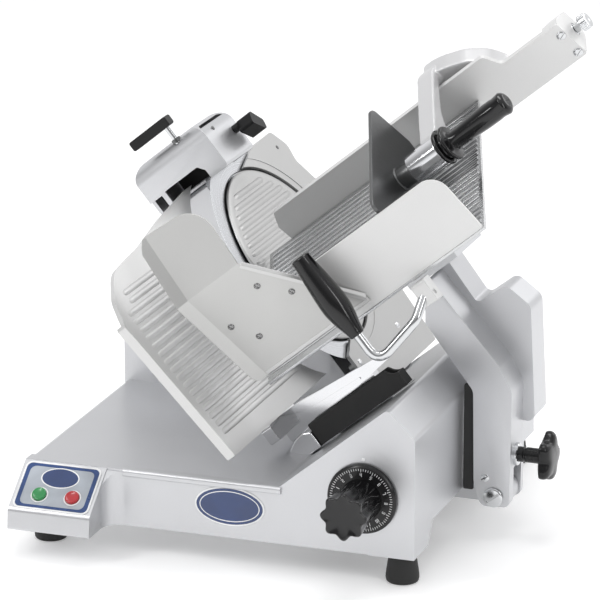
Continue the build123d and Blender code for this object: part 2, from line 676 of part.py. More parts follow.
# --- gauge ------------------------------------------------------------------------------------------
GAUGE_EDGE = [(-17, 266), (-46, 478), (-26, 513), (18, 542), (127, 551), (214, 564), (330, 575),
              (400, 575), (400, 266)]


def gauge_plate():
    """Ribbed gauge plate with a flange behind its near edge."""
    plate = along_s(GAUGE_EDGE, GAUGE_S - 6, GAUGE_S, [6, 40, 30, 60, 120, 200, 8, 0, 0])
    plate += along_s([(-17, 266), (-46, 478), (-43, 483), (-11, 266)], GAUGE_S - 13, GAUGE_S - 1)
    for i in range(18):
        b = 296 + 12.6 * i
        y0 = 2 if b < 500 else 14
        plate += slant_block(y0, 330, b, b + 5, GAUGE_S - 1, GAUGE_S + 1.5)
    return plate - rod_s(KNIFE_Y, KNIFE_B, GAUGE_S - 30, GAUGE_S + 5, KNIFE_R + 3.5)


def gauge_bracket():
    """Polished wedge from the gauge plate to the tongue in the slope's slot."""
    wedge = [slant_point(0, b, s)[::2] for s, b in ((-94, 226), (-94, 265.5), (-52, 265.5), (95, 252),
                                                    (95, 245), (-40, 229))]
    body = along_y(wedge, 160, 168, [3, 3, 3, 2, 2, 8])
    body += slant_block(167, 176, 233, 248, -38, 54)
    body += slant_block(174, 184, INCLINE_B - 10, 248, -38, 54)
    return body + slant_block(120, 215, 242, 265.5, -101, -86)


def gauge_carrier():
    """Block under the slope that slides on its rod and follows the index cam."""
    body = slant_block(68, 190, 160, 194, -30, 50)
    body -= rod_s(GAUGE_ROD_Y, GAUGE_ROD_B, -31, 51, GAUGE_ROD_R + FIT)
    follower = slant_block(52, 60, 132, 172, -10, 10) + slant_block(52, 69, 162, 172, -10, 10)
    return body + follower


def gauge_rod():
    """Rod that the gauge carrier slides on."""
    return rod_s(GAUGE_ROD_Y, GAUGE_ROD_B, -64, 105, GAUGE_ROD_R)


def gauge_boot():
    """Rubber trough over the slope's slot, with a rounded seat at its lower end."""
    trough = slant_block(136, 158, INCLINE_B, 236, -50, 98)
    trough -= slant_block(141, 153, 211, 240, -46, 94)
    return trough


# --- index ------------------------------------------------------------------------------------------
def index_dial():
    """Numbered dial."""
    return turned((DIAL_X, -GAP, DIAL_Z), (1, 0, 0), (0, -1, 0),
                  [(0, 0), (45.5, 0), (45.5, 4), (42, 8), (0, 8)])


def index_knob():
    """Lobed knob on the dial."""
    plane = Plane(origin=(DIAL_X, -8 - GAP, DIAL_Z), x_dir=(1, 0, 0), z_dir=(0, -1, 0))
    knob = extrude(plane * Circle(20), amount=14)
    knob += lobed(plane.offset(14), 31, 56.5, 8, 7)
    return knob


def index_shaft():
    """Shaft of the knob, with the scroll cam that drives the gauge."""
    shaft = rod_y(DIAL_X, DIAL_Z, -GAP, 50, INDEX_R)
    return shaft + rod_y(DIAL_X, DIAL_Z, 34, 46, 30)


# --- sharpener --------------------------------------------------------------------------------------
TEE_Y, TEE_S = 331.0, -48.0
TEE_B0, TEE_B1 = 655.0, 669.0
STONE_Y, STONE_B = 377.0, 602.0
LEVER_Y, LEVER_B = 402.0, 600.0


def sharpener_housing():
    """Cast cap over the top of the knife, open below and at the front."""
    side = rectangle(SHARP_Y0, SHARP_Y1, SHARP_B0, SHARP_B1)
    body = along_s(side, SHARP_S0, SHARP_S1, [0, 0, 16, 22])
    body -= along_s(inset(rectangle(SHARP_Y0, SHARP_Y1, SHARP_B0 - 20, SHARP_B1), 5), SHARP_S0 + 5,
                    SHARP_S1 - 5)
    body += slant_block(362, 416, SHARP_B0, SHARP_B0 + 5, SHARP_S0 + 4, -64)
    body -= slant_block(SHARP_Y0 - 1, SHARP_Y0 + 6, SHARP_B0 - 1, 589, -102, -35)
    body -= slant_block(SHARP_Y0 - 1, SHARP_Y0 + 6, SHARP_B0 - 1, 587, SHARP_S0 - 1, -109)
    body -= slant_block(SHARP_Y1 - 6, SHARP_Y1 + 1, SHARP_B0 - 1, 592, -56, -40)
    body -= rod_b(TEE_Y, TEE_S, SHARP_B1 - 6, SHARP_B1 + 1, 4.5 + FIT)
    return body - rod_s(LEVER_Y, LEVER_B, SHARP_S1 - 6, SHARP_S1 + 1, 6 + FIT)


def sharpener_tee():
    """T-handle on its rod, with the cross bar inside the housing."""
    tee = along_y([slant_point(0, b, s)[::2] for s, b in rectangle(-104, -38, TEE_B0, TEE_B1)], TEE_Y - 9,
                  TEE_Y + 9, 3)
    tee += rod_b(TEE_Y, TEE_S, 614, TEE_B0 + 2, 4.5)
    tee += slant_block(TEE_Y - 5, TEE_Y + 5, 612, 624, -90, -42)
    tee += slant_block(TEE_Y, STONE_Y + 5, 596, 624, -90, -82)
    return tee + rod_s(STONE_Y, STONE_B, -84, -70.5, 4)


def grinding_stone():
    """Stone that sharpens the back of the edge."""
    return rod_s(STONE_Y, STONE_B, -76, -68, 13) - rod_s(STONE_Y, STONE_B, -77, -70, 4 + FIT)


def truing_lever():
    """Lever on the side of the sharpener, with its shaft."""
    lever = along_s([(394, 593), (420, 574), (426, 588), (406, 609)], 4, 28, 4)
    return lever + rod_s(LEVER_Y, LEVER_B, -30, 6, 6)


def truing_stone():
    """Stone that takes off the burr."""
    return rod_s(LEVER_Y, LEVER_B, -38, -30, 12)


# --- the pieces -------------------------------------------------------------------------------------
def all_pieces():
    """Every piece by its name."""
    pieces = {
        "base_casting": base_casting(),
        "bottom_cover": bottom_cover(),
        "foot_front_left": foot(-500, 22),
        "foot_front_right": foot(-22, 22),
        "foot_rear_left": foot(-500, 505),
        "foot_rear_right": foot(-22, 505),
        "control_panel": control_panel(),
        "start_button": push_button(*START),
        "stop_button": push_button(*STOP),
        "switch_block": switch_block(),
        "badge": badge(),
        "power_inlet": power_inlet(),
        "slide_rail": slide_rail(),
        "guide_rail": guide_rail(),
        "rail_brackets": rail_brackets(),
        "carriage_block": carriage_block(),
        "pivot_pin": pivot_pin(),
        "chute_arm": chute_arm(),
        "tilt_lock": tilt_lock(),
        "chute_floor": chute_floor(),
        "chute_front_wall": chute_front_wall(),
        "thumb_guard": thumb_guard(),
        "guard_screws": guard_screws(),
        "chute_fence": chute_fence(),
        "fence_screws": fence_screws(),
        "fence_thumbscrew": fence_thumbscrew(),
        "weight_rod": weight_rod(),
        "handle_rod": handle_rod(),
        "handle_grip": handle_grip(),
        "weight_slide": weight_slide(),
        "weight_arm": weight_arm(),
        "weight_handle": weight_handle(),
        "pusher_plate": pusher_plate(),
        "knife_housing": knife_housing(),
        "guard_plate": guard_plate(),
        "guard_plate_screws": guard_plate_screws(),
        "knife_cover": knife_cover(),
        "knife_blade": knife_blade(),
        "knife_screws": knife_screws(),
        "knife_hub": knife_hub(),
        "knife_bearings": knife_bearings(),
        "motor_body": motor_body(),
        "motor_shaft": motor_shaft(),
        "gauge_plate": gauge_plate(),
        "gauge_bracket": gauge_bracket(),
        "gauge_carrier": gauge_carrier(),
        "gauge_rod": gauge_rod(),
        "gauge_boot": gauge_boot(),
        "index_dial": index_dial(),
        "index_knob": index_knob(),
        "index_shaft": index_shaft(),
        "sharpener_housing": sharpener_housing(),
        "sharpener_tee": sharpener_tee(),
        "grinding_stone": grinding_stone(),
        "truing_lever": truing_lever(),
        "truing_stone": truing_stone(),
    }
    return pieces


def middle(pieces):
    """The centre of the bottom of the whole machine's box."""
    boxes = [piece.bounding_box() for piece in pieces.values()]
    x = (min(box.min.X for box in boxes) + max(box.max.X for box in boxes)) / 2
    y = (min(box.min.Y for box in boxes) + max(box.max.Y for box in boxes)) / 2
    return Vector(x, y, min(box.min.Z for box in boxes))


def write_pieces():
    """Write one STEP file per piece, in the machine's own frame."""
    pieces = all_pieces()
    shift = middle(pieces)
    os.makedirs("parts", exist_ok=True)
    for name, piece in pieces.items():
        export_step(Pos(-shift) * piece, os.path.join("parts", name + ".step"))
    return shift


SHIFT = write_pieces()
print("origin at", tuple(round(value, 3) for value in SHIFT))
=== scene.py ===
import bmesh
import bpy
import math
from mathutils import Matrix, Vector


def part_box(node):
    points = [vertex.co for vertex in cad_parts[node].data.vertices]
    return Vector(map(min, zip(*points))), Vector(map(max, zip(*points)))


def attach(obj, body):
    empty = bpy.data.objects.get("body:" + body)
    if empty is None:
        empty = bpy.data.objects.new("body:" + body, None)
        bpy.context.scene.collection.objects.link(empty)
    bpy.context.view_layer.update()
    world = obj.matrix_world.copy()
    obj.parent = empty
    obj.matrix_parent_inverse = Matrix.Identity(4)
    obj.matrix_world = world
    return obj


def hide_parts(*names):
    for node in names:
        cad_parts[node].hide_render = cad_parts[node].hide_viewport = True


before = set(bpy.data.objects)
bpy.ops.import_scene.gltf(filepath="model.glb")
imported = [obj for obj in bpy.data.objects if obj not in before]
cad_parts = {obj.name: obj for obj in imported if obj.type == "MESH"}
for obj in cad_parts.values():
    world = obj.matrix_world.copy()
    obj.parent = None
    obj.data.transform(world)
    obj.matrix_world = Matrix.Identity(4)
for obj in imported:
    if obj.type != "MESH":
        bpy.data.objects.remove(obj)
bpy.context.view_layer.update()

# Deli meat slicer.  Lengths below are millimetres in the machine's own coordinates, as on a workshop
# drawing: X = 0 is the outside of the base's right wall, Y = 0 its front face, Z = 0 the counter.
# "Slant" coordinates (y, b, s) lean with the knife: s runs along its axis, b up and to the left.
# "Chute" coordinates (t, u, s) stand on the chute's floor: t runs back along it and u stands off it.
BASE_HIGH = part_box("base_casting")[1]
BASE_D, BASE_W = 535.0, 524.0
SHIFT = Vector((BASE_HIGH.x * 1000, BASE_HIGH.y * 1000 - BASE_D, 0))
PHI = math.radians(39.5)
TILT = math.radians(28.6)
COS, SIN = math.cos(PHI), math.sin(PHI)
T_COS, T_SIN = math.cos(TILT), math.sin(TILT)
KNIFE_Y, KNIFE_B, KNIFE_R = 411.0, 417.0, 165.0
COVER_R = 134.5
GAUGE_S = -80.0
INCLINE_B = 204.0
CHUTE_Y, CHUTE_B = 90.0, 311.0
ROD_T, ROD_U = 300.0, -20.0
PUSH_T, PUSH_U, PUSH_S = 140.0, 45.0, 238.0
DIAL_X, DIAL_Z = -67.5, 111.6
DECK_Z, SIDE_Z, SKIRT_Z, FOOT_H = 112.0, 64.5, 37.0, 36.0


# ---- places ------------------------------------------------------------------------------------
def at(x, y, z):
    """A point of the shared frame, in metres, from machine coordinates."""
    return (Vector((x, y, z)) + SHIFT) / 1000


def slant(y, b, s):
    """A point from slant coordinates."""
    return at(s * COS - b * SIN, y, s * SIN + b * COS)


def tu(t, u):
    """(y, b) from the chute's section."""
    return (CHUTE_Y + t * T_COS - u * T_SIN, CHUTE_B + t * T_SIN + u * T_COS)


def chute(t, u, s):
    """A point from chute coordinates."""
    return slant(*tu(t, u), s)


AXIS_S = Vector((COS, 0, SIN))
AXIS_B = Vector((-SIN, 0, COS))
AXIS_T = Vector((-SIN * T_SIN, T_COS, COS * T_SIN))
AXIS_U = Vector((-SIN * T_COS, -T_SIN, COS * T_COS))


def plane_at(origin, x_dir, y_dir):
    """A function from local (x, y, z) in millimetres to the shared frame."""
    x_dir, y_dir = Vector(x_dir).normalized(), Vector(y_dir).normalized()
    z_dir = x_dir.cross(y_dir)
    start = Vector(origin)
    return lambda x, y, z=0.0: start + (x_dir * x + y_dir * y + z_dir * z) / 1000


FRONT = plane_at(at(0, 0, 0), (1, 0, 0), (0, 0, 1))            # local x, y, z = X, Z, -Y
SIDE = plane_at(at(0, 0, 0), (0, 1, 0), (0, 0, 1))             # local x, y, z = Y, Z, X
TOP = plane_at(at(0, 0, 0), (1, 0, 0), (0, 1, 0))              # local x, y, z = X, Y, Z
SLANT = plane_at(slant(0, 0, 0), (0, 1, 0), AXIS_B)            # local x, y, z = y, b, s
CHUTE = plane_at(chute(0, 0, 0), AXIS_T, AXIS_U)               # local x, y, z = t, u, s
KNIFE = plane_at(slant(KNIFE_Y, KNIFE_B, 0), (0, 1, 0), AXIS_B)
ACROSS = plane_at(slant(0, 0, 0), AXIS_S, AXIS_B)              # local x, y, z = s, b, -y


def upright(x, y, z):
    """Local x, y, z = y, s, b."""
    return slant(x, z, y)


def sheet_plane(foot, head):
    """The plane through two (y, b) points: local x = s, local y = distance from foot to head."""
    run = (slant(*head, 0) - slant(*foot, 0)).normalized()
    return plane_at(slant(*foot, 0), AXIS_S, run)


# ---- outlines ----------------------------------------------------------------------------------
REACH = 0.49                        # the most of a side that a corner's arc may take up


def rounded(points, radii, steps=7):
    """Corner points of an outline, with each corner replaced by an arc of its radius."""
    if not isinstance(radii, (list, tuple)):
        radii = [radii] * len(points)
    result = []
    for i, radius in enumerate(radii):
        here = Vector(points[i])
        if radius <= 0:
            result.append(here)
            continue
        back = Vector(points[i - 1]) - here
        ahead = Vector(points[(i + 1) % len(points)]) - here
        half = back.angle(ahead) / 2
        reach = min(radius / math.tan(half), REACH * back.length, REACH * ahead.length)
        radius = reach * math.tan(half)
        centre = here + (back.normalized() + ahead.normalized()).normalized() * (radius / math.sin(half))
        start, end = here + back.normalized() * reach - centre, here + ahead.normalized() * reach - centre
        turn = start.angle_signed(end)
        count = max(2, round(steps * abs(turn) / (math.pi / 2)))
        for k in range(count + 1):
            result.append(centre + Matrix.Rotation(-turn * k / count, 2) @ start)
    return result


def rect(a0, a1, b0, b1):
    return [(a0, b0), (a1, b0), (a1, b1), (a0, b1)]


def ring(radius, count=64, centre=(0, 0)):
    """Points around a circle."""
    steps = [2 * math.pi * k / count for k in range(count)]
    return [(centre[0] + radius * math.cos(a), centre[1] + radius * math.sin(a)) for a in steps]


def arc(centre, radius, start, end, count=16):
    """Points along an arc, angles in degrees."""
    angles = [math.radians(start + (end - start) * k / count) for k in range(count + 1)]
    return [(centre[0] + radius * math.cos(a), centre[1] + radius * math.sin(a)) for a in angles]


# ---- mesh building -----------------------------------------------------------------------------
MERGE = 1e-6                        # vertices closer than this, in metres, become one
ON_AXIS = 1e-6                      # a smaller radius, in millimetres, is a point on the axis
SHARP_ANGLE = math.radians(40)      # edges steeper than this stay sharp


def keep(name, bm):
    """Turn an edited mesh into an object of the scene."""
    mesh = bpy.data.meshes.new(name)
    bm.to_mesh(mesh)
    bm.free()
    thing = bpy.data.objects.new(name, mesh)
    bpy.context.scene.collection.objects.link(thing)
    return thing


def mesh_object(name, build):
    """An object whose mesh is made by build(bm)."""
    bm = bmesh.new()
    build(bm)
    bmesh.ops.remove_doubles(bm, verts=bm.verts, dist=MERGE)
    bmesh.ops.recalc_face_normals(bm, faces=bm.faces)
    return keep(name, bm)


def loft(bm, rows):
    """Faces over a stack of equal loops of points, with both ends closed."""
    made = [[bm.verts.new(point) for point in row] for row in rows]
    bm.faces.new(made[0])
    bm.faces.new(made[-1])
    for a, b in zip(made, made[1:]):
        for i in range(len(a)):
            j = (i + 1) % len(a)
            bm.faces.new((a[i], a[j], b[j], b[i]))


def lofted(name, rows):
    return mesh_object(name, lambda bm: loft(bm, rows))


def raised(loop, place, low, high):
    """The two end loops of a prism."""
    return [[place(x, y, height) for x, y in loop] for height in (low, high)]


def prism(name, loop, place, low, high):
    """A closed prism over a flat loop, between two local heights."""
    return lofted(name, raised(loop, place, low, high))


def slab(name, points, radii, steps, place, low, high):
    """A prism over an outline with rounded corners."""
    return prism(name, rounded(points, radii, steps), place, low, high)


def lathe(name, profile, place, segments=96):
    """A turned solid about the local z axis, from (radius, height) points."""
    def build(bm):
        rows = []
        for radius, height in profile:
            if radius < ON_AXIS:
                rows.append([bm.verts.new(place(0, 0, height))])
            else:
                rows.append([bm.verts.new(place(x, y, height)) for x, y in ring(radius, segments)])
        closed = profile[0][0] > ON_AXIS
        for k in range(len(rows) if closed else len(rows) - 1):
            a, b = rows[k], rows[(k + 1) % len(rows)]
            for i in range(segments):
                j = (i + 1) % segments
                corners = [a[i % len(a)], a[j % len(a)], b[j % len(b)], b[i % len(b)]]
                corners = list(dict.fromkeys(corners))
                if len(corners) > 2:
                    bm.faces.new(corners)
    return mesh_object(name, build)


def tube(name, points, radius, bends, segments, steps):
    """A round bar along a path of points in the shared frame, with rounded corners."""
    path = [Vector(points[0])]
    for i, bend in enumerate(bends, 1):
        here = Vector(points[i])
        back, ahead = Vector(points[i - 1]) - here, Vector(points[i + 1]) - here
        reach = min(bend / 1000 / math.tan(back.angle(ahead) / 2), REACH * back.length,
                    REACH * ahead.length)
        p0, p1 = here + back.normalized() * reach, here + ahead.normalized() * reach
        for f in [k / steps for k in range(steps + 1)]:
            path.append(p0 * (1 - f) ** 2 + here * 2 * f * (1 - f) + p1 * f ** 2)
    path.append(Vector(points[-1]))
    normal = (path[1] - path[0]).orthogonal().normalized()
    rows = []
    for i, point in enumerate(path):
        run = (path[min(i + 1, len(path) - 1)] - path[max(i - 1, 0)]).normalized()
        normal = (normal - run * normal.dot(run)).normalized()
        other = run.cross(normal)
        rows.append([point + (normal * x + other * y) / 1000 for x, y in ring(radius, segments)])
    return lofted(name, rows)


def bake(thing):
    """Apply an object's modifiers to its mesh."""
    view = bpy.context.evaluated_depsgraph_get()
    mesh = bpy.data.meshes.new_from_object(thing.evaluated_get(view))
    thing.modifiers.clear()
    thing.data = mesh
    return thing


def combine(kind, thing, *others):
    """Boolean union, difference or intersection with other objects, which are used up."""
    for other in others:
        step = thing.modifiers.new("bool", "BOOLEAN")
        step.operation = kind
        step.solver = "EXACT"
        step.object = other
        bpy.context.view_layer.update()
        bake(thing)
        bpy.data.objects.remove(other)
    return thing


def add(thing, *others):
    return combine("UNION", thing, *others)


def cut(thing, *others):
    return combine("DIFFERENCE", thing, *others)


def smooth(thing):
    for face in thing.data.polygons:
        face.use_smooth = True
    return thing


def drill(thing, radius, count, centre, place, low, high):
    """Cut a round hole."""
    return cut(thing, prism("hole", ring(radius, count, centre), place, low, high))


def soften(thing, width, segments=3, angle=32):
    """Rounded edges and smooth shading."""
    if width > 0:
        step = thing.modifiers.new("bevel", "BEVEL")
        step.width = width / 1000
        step.segments = segments
        step.limit_method = "ANGLE"
        step.angle_limit = math.radians(angle)
        step.use_clamp_overlap = True
        step.miter_outer = "MITER_ARC"
        step.harden_normals = False
        bake(thing)
    smooth(thing)
    thing.data.set_sharp_from_angle(angle=SHARP_ANGLE)
    step = thing.modifiers.new("weighted", "WEIGHTED_NORMAL")
    step.keep_sharp = True
    step.weight = 60
    return bake(thing)


def cast(thing, voxel, passes):
    """The soft skin of a casting: an even mesh with its edges smoothed over."""
    step = thing.modifiers.new("skin", "REMESH")
    step.mode = "VOXEL"
    step.voxel_size = voxel / 1000
    bake(thing)
    step = thing.modifiers.new("round", "SMOOTH")
    step.factor = 0.5
    step.iterations = passes
    return smooth(bake(thing))


def joined(name, things):
    """Several loose objects as one."""
    bm = bmesh.new()
    for thing in things:
        bm.from_mesh(thing.data)
        bpy.data.objects.remove(thing)
    return keep(name, bm)


# ---- materials ---------------------------------------------------------------------------------
def fill(tree, node, values):
    """Link each named input to an output, or set it."""
    for key, value in values.items():
        if isinstance(value, bpy.types.NodeSocket):
            tree.links.new(value, node.inputs[key])
        else:
            node.inputs[key].default_value = value


def new_node(tree, kind, values, output=0):
    """A node with its inputs filled, and one of its outputs."""
    node = tree.nodes.new("ShaderNode" + kind)
    fill(tree, node, values)
    return node, node.outputs[output]


def new_material(name, values):
    """A material whose shader starts with these values."""
    material = bpy.data.materials.new(name)
    material.use_nodes = True
    tree = material.node_tree
    shader = tree.nodes["Principled BSDF"]
    fill(tree, shader, values)
    return material, tree, shader


def noise(tree, scale, detail, stretch=(1, 1, 1), turn=(0, 0, 0), distortion=0.0):
    """Noise in the object's own metres, turned and then squeezed by stretch."""
    place = new_node(tree, "TexCoord", {}, "Object")[1]
    mapping, squeezed = new_node(tree, "Mapping", {})
    mapping.vector_type = "TEXTURE"
    fill(tree, mapping, {"Vector": place, "Rotation": turn, "Scale": [1 / value for value in stretch]})
    values = {"Vector": squeezed, "Scale": scale, "Detail": detail, "Distortion": distortion}
    return new_node(tree, "TexNoise", values, "Fac")[1]


def spread(tree, value, low, high, source=(0.3, 0.7)):
    """Map a value to a range."""
    values = {"Value": value, "From Min": source[0], "From Max": source[1], "To Min": low, "To Max": high}
    return new_node(tree, "MapRange", values, "Result")[1]


def mix_colour(tree, factor, low, high):
    """Blend two colours by a value."""
    node = tree.nodes.new("ShaderNodeMix")
    node.data_type = "RGBA"
    low, high = [(*colour, 1) if isinstance(colour, tuple) else colour for colour in (low, high)]
    fill(tree, node, {0: factor, 6: low, 7: high})
    return node.outputs[2]


def tinted(tree, value, colour, low, high):
    """A colour that a value makes darker or lighter, between two factors."""
    shades = [tuple(min(1.0, c * factor) for c in colour) for factor in (low, high)]
    return mix_colour(tree, spread(tree, value, 0, 1), *shades)


def surface(tree, shader, tint, rough, *layers):
    """Wire up colour, roughness and stacked bumps; each layer is (value, strength, millimetres)."""
    values = {"Base Color": tint, "Roughness": rough}
    for value, strength, distance in layers:
        bump = {"Height": value, "Strength": strength, "Distance": distance / 1000}
        if "Normal" in values:
            bump["Normal"] = values["Normal"]
        values["Normal"] = new_node(tree, "Bump", bump, "Normal")[1]
    fill(tree, shader, values)


def blasted_metal(name, colour, rough, metallic=0.85):
    """Bead-blasted, anodised aluminium: a fine even grain with faint clouds and handling marks."""
    material, tree, shader = new_material(name, {"Metallic": metallic})
    grain = noise(tree, 1500.0, 2.0)
    clouds = tinted(tree, noise(tree, 7.0, 4.0, distortion=0.4), colour, 0.965, 1.02)
    tint = mix_colour(tree, 0.35, clouds, tinted(tree, grain, colour, 0.93, 1.03))
    marks = noise(tree, 9.0, 5.0, distortion=0.3)
    surface(tree, shader, tint, spread(tree, marks, rough - 0.025, rough + 0.035), (grain, 0.06, 0.06))
    return material


def brushed_metal(name, colour, rough, turn, stretch=(10, 1400, 1400), strength=0.05):
    """Brushed metal: long fine scratches along one direction."""
    material, tree, shader = new_material(name, {"Metallic": 1.0})
    lines = noise(tree, 1.0, 5.0, stretch, turn)
    broad = noise(tree, 0.35, 3.0, stretch, turn)
    surface(tree, shader, tinted(tree, lines, colour, 0.96, 1.02),
            spread(tree, broad, rough - 0.02, rough + 0.03), (lines, strength, 0.04))
    return material


def turned_metal(name, colour, rough, centre):
    """Steel ground in circles about the knife's axis."""
    material, tree, shader = new_material(name, {"Metallic": 1.0})
    place = new_node(tree, "TexCoord", {}, "Object")[1]
    offset, away = new_node(tree, "VectorMath", {0: place, 1: centre})
    offset.operation = "SUBTRACT"
    reach = new_node(tree, "VectorMath", {0: away})[0]
    reach.operation = "LENGTH"
    rings, lines = new_node(tree, "TexNoise", {"Scale": 1400.0, "Detail": 4.0}, "Fac")
    rings.noise_dimensions = "1D"
    fill(tree, rings, {"W": reach.outputs["Value"]})
    surface(tree, shader, tinted(tree, lines, colour, 0.88, 1.05),
            spread(tree, lines, rough - 0.05, rough + 0.08), (lines, 0.1, 0.06),
            (noise(tree, 30.0, 4.0), 0.02, 0.5))
    return material


def polished_metal(name, colour, rough):
    """Buffed metal with faint wipe marks."""
    material, tree, shader = new_material(name, {"Metallic": 1.0})
    smears = noise(tree, 14.0, 4.0, (1, 1.6, 1), distortion=0.4)
    surface(tree, shader, tinted(tree, smears, colour, 0.95, 1.02),
            spread(tree, smears, rough * 0.85, rough * 1.25),
            (noise(tree, 700.0, 3.0, (0.3, 1, 1)), 0.03, 0.02))
    return material


def plastic(name, colour, rough, coat=0.0, texture=0.15, scale=1800.0, specular=0.5):
    """Moulded plastic with a fine spark-eroded texture."""
    material, tree, shader = new_material(name, {"Coat Weight": coat, "Coat Roughness": 0.08,
                                                 "Specular IOR Level": specular})
    patches = noise(tree, 16.0, 5.0, distortion=0.8)
    surface(tree, shader, tinted(tree, patches, colour, 0.82, 1.25),
            spread(tree, patches, rough - 0.04, rough + 0.08), (noise(tree, scale, 2.0), texture, 0.1),
            (patches, 0.03, 0.4))
    return material


def rubber(name, colour):
    """Matte rubber with dust in its grain."""
    material, tree, shader = new_material(name, {})
    dust = noise(tree, 26.0, 6.0, distortion=1.0)
    surface(tree, shader, tinted(tree, dust, colour, 1, 1.7), spread(tree, dust, 0.55, 0.74),
            (noise(tree, 900.0, 4.0), 0.3, 0.15))
    return material


# Each look is a material and the slot it goes by in the library.
ALONG_S = (0, -PHI, 0)
SATIN = (blasted_metal("satin_aluminium", (0.62, 0.625, 0.64), 0.36), "cast_aluminium")
# A darker copy of the satin aluminium for pieces that sit inside and under others: painted shade.
SATIN_SHADED = (blasted_metal("satin_aluminium_shaded", (0.60, 0.605, 0.62), 0.42), "cast_aluminium")
PLATE = (blasted_metal("anodised_plate", (0.66, 0.66, 0.655), 0.36, 0.62), "cast_aluminium")
# A lighter, more diffuse copy of the plate colour: painted light that brightens the chute's front wall and
# fence.
WALL_METAL_LIGHTENED = (blasted_metal("anodised_wall_lightened", (0.72, 0.72, 0.715), 0.46, 0.35), "cast_aluminium")
# A darker copy of the plate colour for the thumb guard: painted shade for its panel that faces down.
GUARD_METAL_SHADED = (blasted_metal("anodised_guard_shaded", (0.57, 0.57, 0.56), 0.36, 0.62), "cast_aluminium")
COVER_METAL = (blasted_metal("anodised_cover", (0.50, 0.50, 0.495), 0.34, 0.7), "cast_aluminium")
ARM_METAL = (blasted_metal("polished_arm", (0.68, 0.68, 0.685), 0.36, 0.6), "polished_aluminium")
BRUSHED_S = (brushed_metal("brushed_along_axis", (0.60, 0.605, 0.61), 0.26, ALONG_S), "cast_aluminium")
BRUSHED_Y = (brushed_metal("brushed_across", (0.72, 0.725, 0.74), 0.27, (0, 0, 0), (900, 14, 900)),
             "knife_steel")
KNIFE_STEEL = (turned_metal("ground_knife_steel", (0.66, 0.67, 0.69), 0.20, slant(KNIFE_Y, KNIFE_B, -47)),
               "knife_steel")
POLISHED = (polished_metal("polished_aluminium", (0.74, 0.745, 0.76), 0.12), "polished_aluminium")
CHROME = (polished_metal("bright_steel", (0.66, 0.67, 0.68), 0.12), "bright_steel")
SCREW_STEEL = (polished_metal("screw_steel", (0.30, 0.30, 0.30), 0.22), "bright_steel")
DARK_STEEL = (brushed_metal("dark_steel", (0.15, 0.152, 0.153), 0.36, (0, 0, 0.5), (14, 700, 700), 0.10),
              "bright_steel")
BLACK_GLOSS = (plastic("gloss_black_grip", (0.004, 0.004, 0.0045), 0.13, 0.25, 0.02, specular=0.4),
               "gloss_black")
BLACK = (plastic("black_plastic", (0.009, 0.009, 0.0095), 0.36, 0.0, 0.15, specular=0.3), "black_plastic")
BLACK_SATIN = (plastic("satin_black_plastic", (0.006, 0.006, 0.0065), 0.24, 0.1, 0.05, specular=0.35),
               "black_plastic")
RUBBER = (rubber("black_rubber", (0.012, 0.012, 0.012)), "rubber")
PANEL_GREY = (plastic("panel_overlay", (0.36, 0.39, 0.43), 0.34, 0.2, 0.08), "panel_blue")
PANEL_BLUE = (plastic("panel_border", (0.010, 0.045, 0.17), 0.26, 0.4, 0.03), "panel_blue")
BADGE_BLUE = (plastic("badge_enamel", (0.008, 0.032, 0.13), 0.18, 0.8, 0.02), "panel_blue")
WHITE = (plastic("white_print", (0.82, 0.83, 0.84), 0.35, 0.1, 0.03), "panel_blue")
GREEN = (plastic("green_button", (0.015, 0.24, 0.06), 0.28, 0.4, 0.04), "green_plastic")
RED = (plastic("red_button", (0.42, 0.012, 0.018), 0.28, 0.4, 0.04), "red_plastic")
MOTOR = (plastic("motor_paint", (0.05, 0.055, 0.06), 0.45, 0.0, 0.3), "motor_paint")
STONE = (plastic("abrasive_stone", (0.30, 0.22, 0.17), 0.85, 0.0, 0.9, 1300.0), "stone")


def dress(thing, body, look, *nodes, slot=None):
    """Give a piece its look, put it on its body and hide the CAD nodes it stands for."""
    material, own_slot = look
    thing.data.materials.clear()
    thing.data.materials.append(material)
    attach(thing, body)
    if nodes:
        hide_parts(*nodes)
    slot or own_slot


def turned(name, profile, place, segments, *dressing, **options):
    """A turned piece, shaded smooth and dressed."""
    dress(soften(lathe(name, profile, place, segments), 0), *dressing, **options)


# ---- the stage -----------------------------------------------------------------------------------
AZIMUTH, ELEVATION, DISTANCE = math.radians(19.3), math.radians(17.0), 5207.5
AIM = (-165.8, 42.4, 348.2)
LENS = 249.96                       # millimetres on a 36 mm sensor


def make_camera():
    look = Vector((-math.sin(AZIMUTH) * math.cos(ELEVATION), math.cos(AZIMUTH) * math.cos(ELEVATION),
                   -math.sin(ELEVATION)))
    right = Vector((math.cos(AZIMUTH), math.sin(AZIMUTH), 0))
    camera = bpy.data.objects.new("camera", bpy.data.cameras.new("camera"))
    camera.data.lens = LENS
    camera.data.sensor_width = 36.0
    camera.data.clip_end = 50.0
    turn = Matrix((right, right.cross(look), -look)).transposed()
    camera.matrix_world = Matrix.Translation(at(*AIM) - look * DISTANCE / 1000) @ turn.to_4x4()
    bpy.context.scene.collection.objects.link(camera)
    bpy.context.scene.camera = camera


def area_light(name, place, target, size, power):
    light = bpy.data.lights.new(name, "AREA")
    light.shape = "RECTANGLE"
    light.size, light.size_y = size
    light.energy = power
    holder = bpy.data.objects.new(name, light)
    holder.location = place
    holder.rotation_euler = (Vector(target) - Vector(place)).to_track_quat("-Z", "Y").to_euler()
    bpy.context.scene.collection.objects.link(holder)


def sky_ramp(tree, height, stops):
    """Grey levels of the studio's walls, from straight down at 0 to straight up at 1."""
    ramp = tree.nodes.new("ShaderNodeValToRGB")
    while len(ramp.color_ramp.elements) < len(stops):
        ramp.color_ramp.elements.new(0.5)
    for element, (position, level) in zip(ramp.color_ramp.elements, stops):
        element.position = position
        element.color = (level, level, level * 1.01, 1)
    tree.links.new(height, ramp.inputs["Fac"])
    return ramp.outputs["Color"]


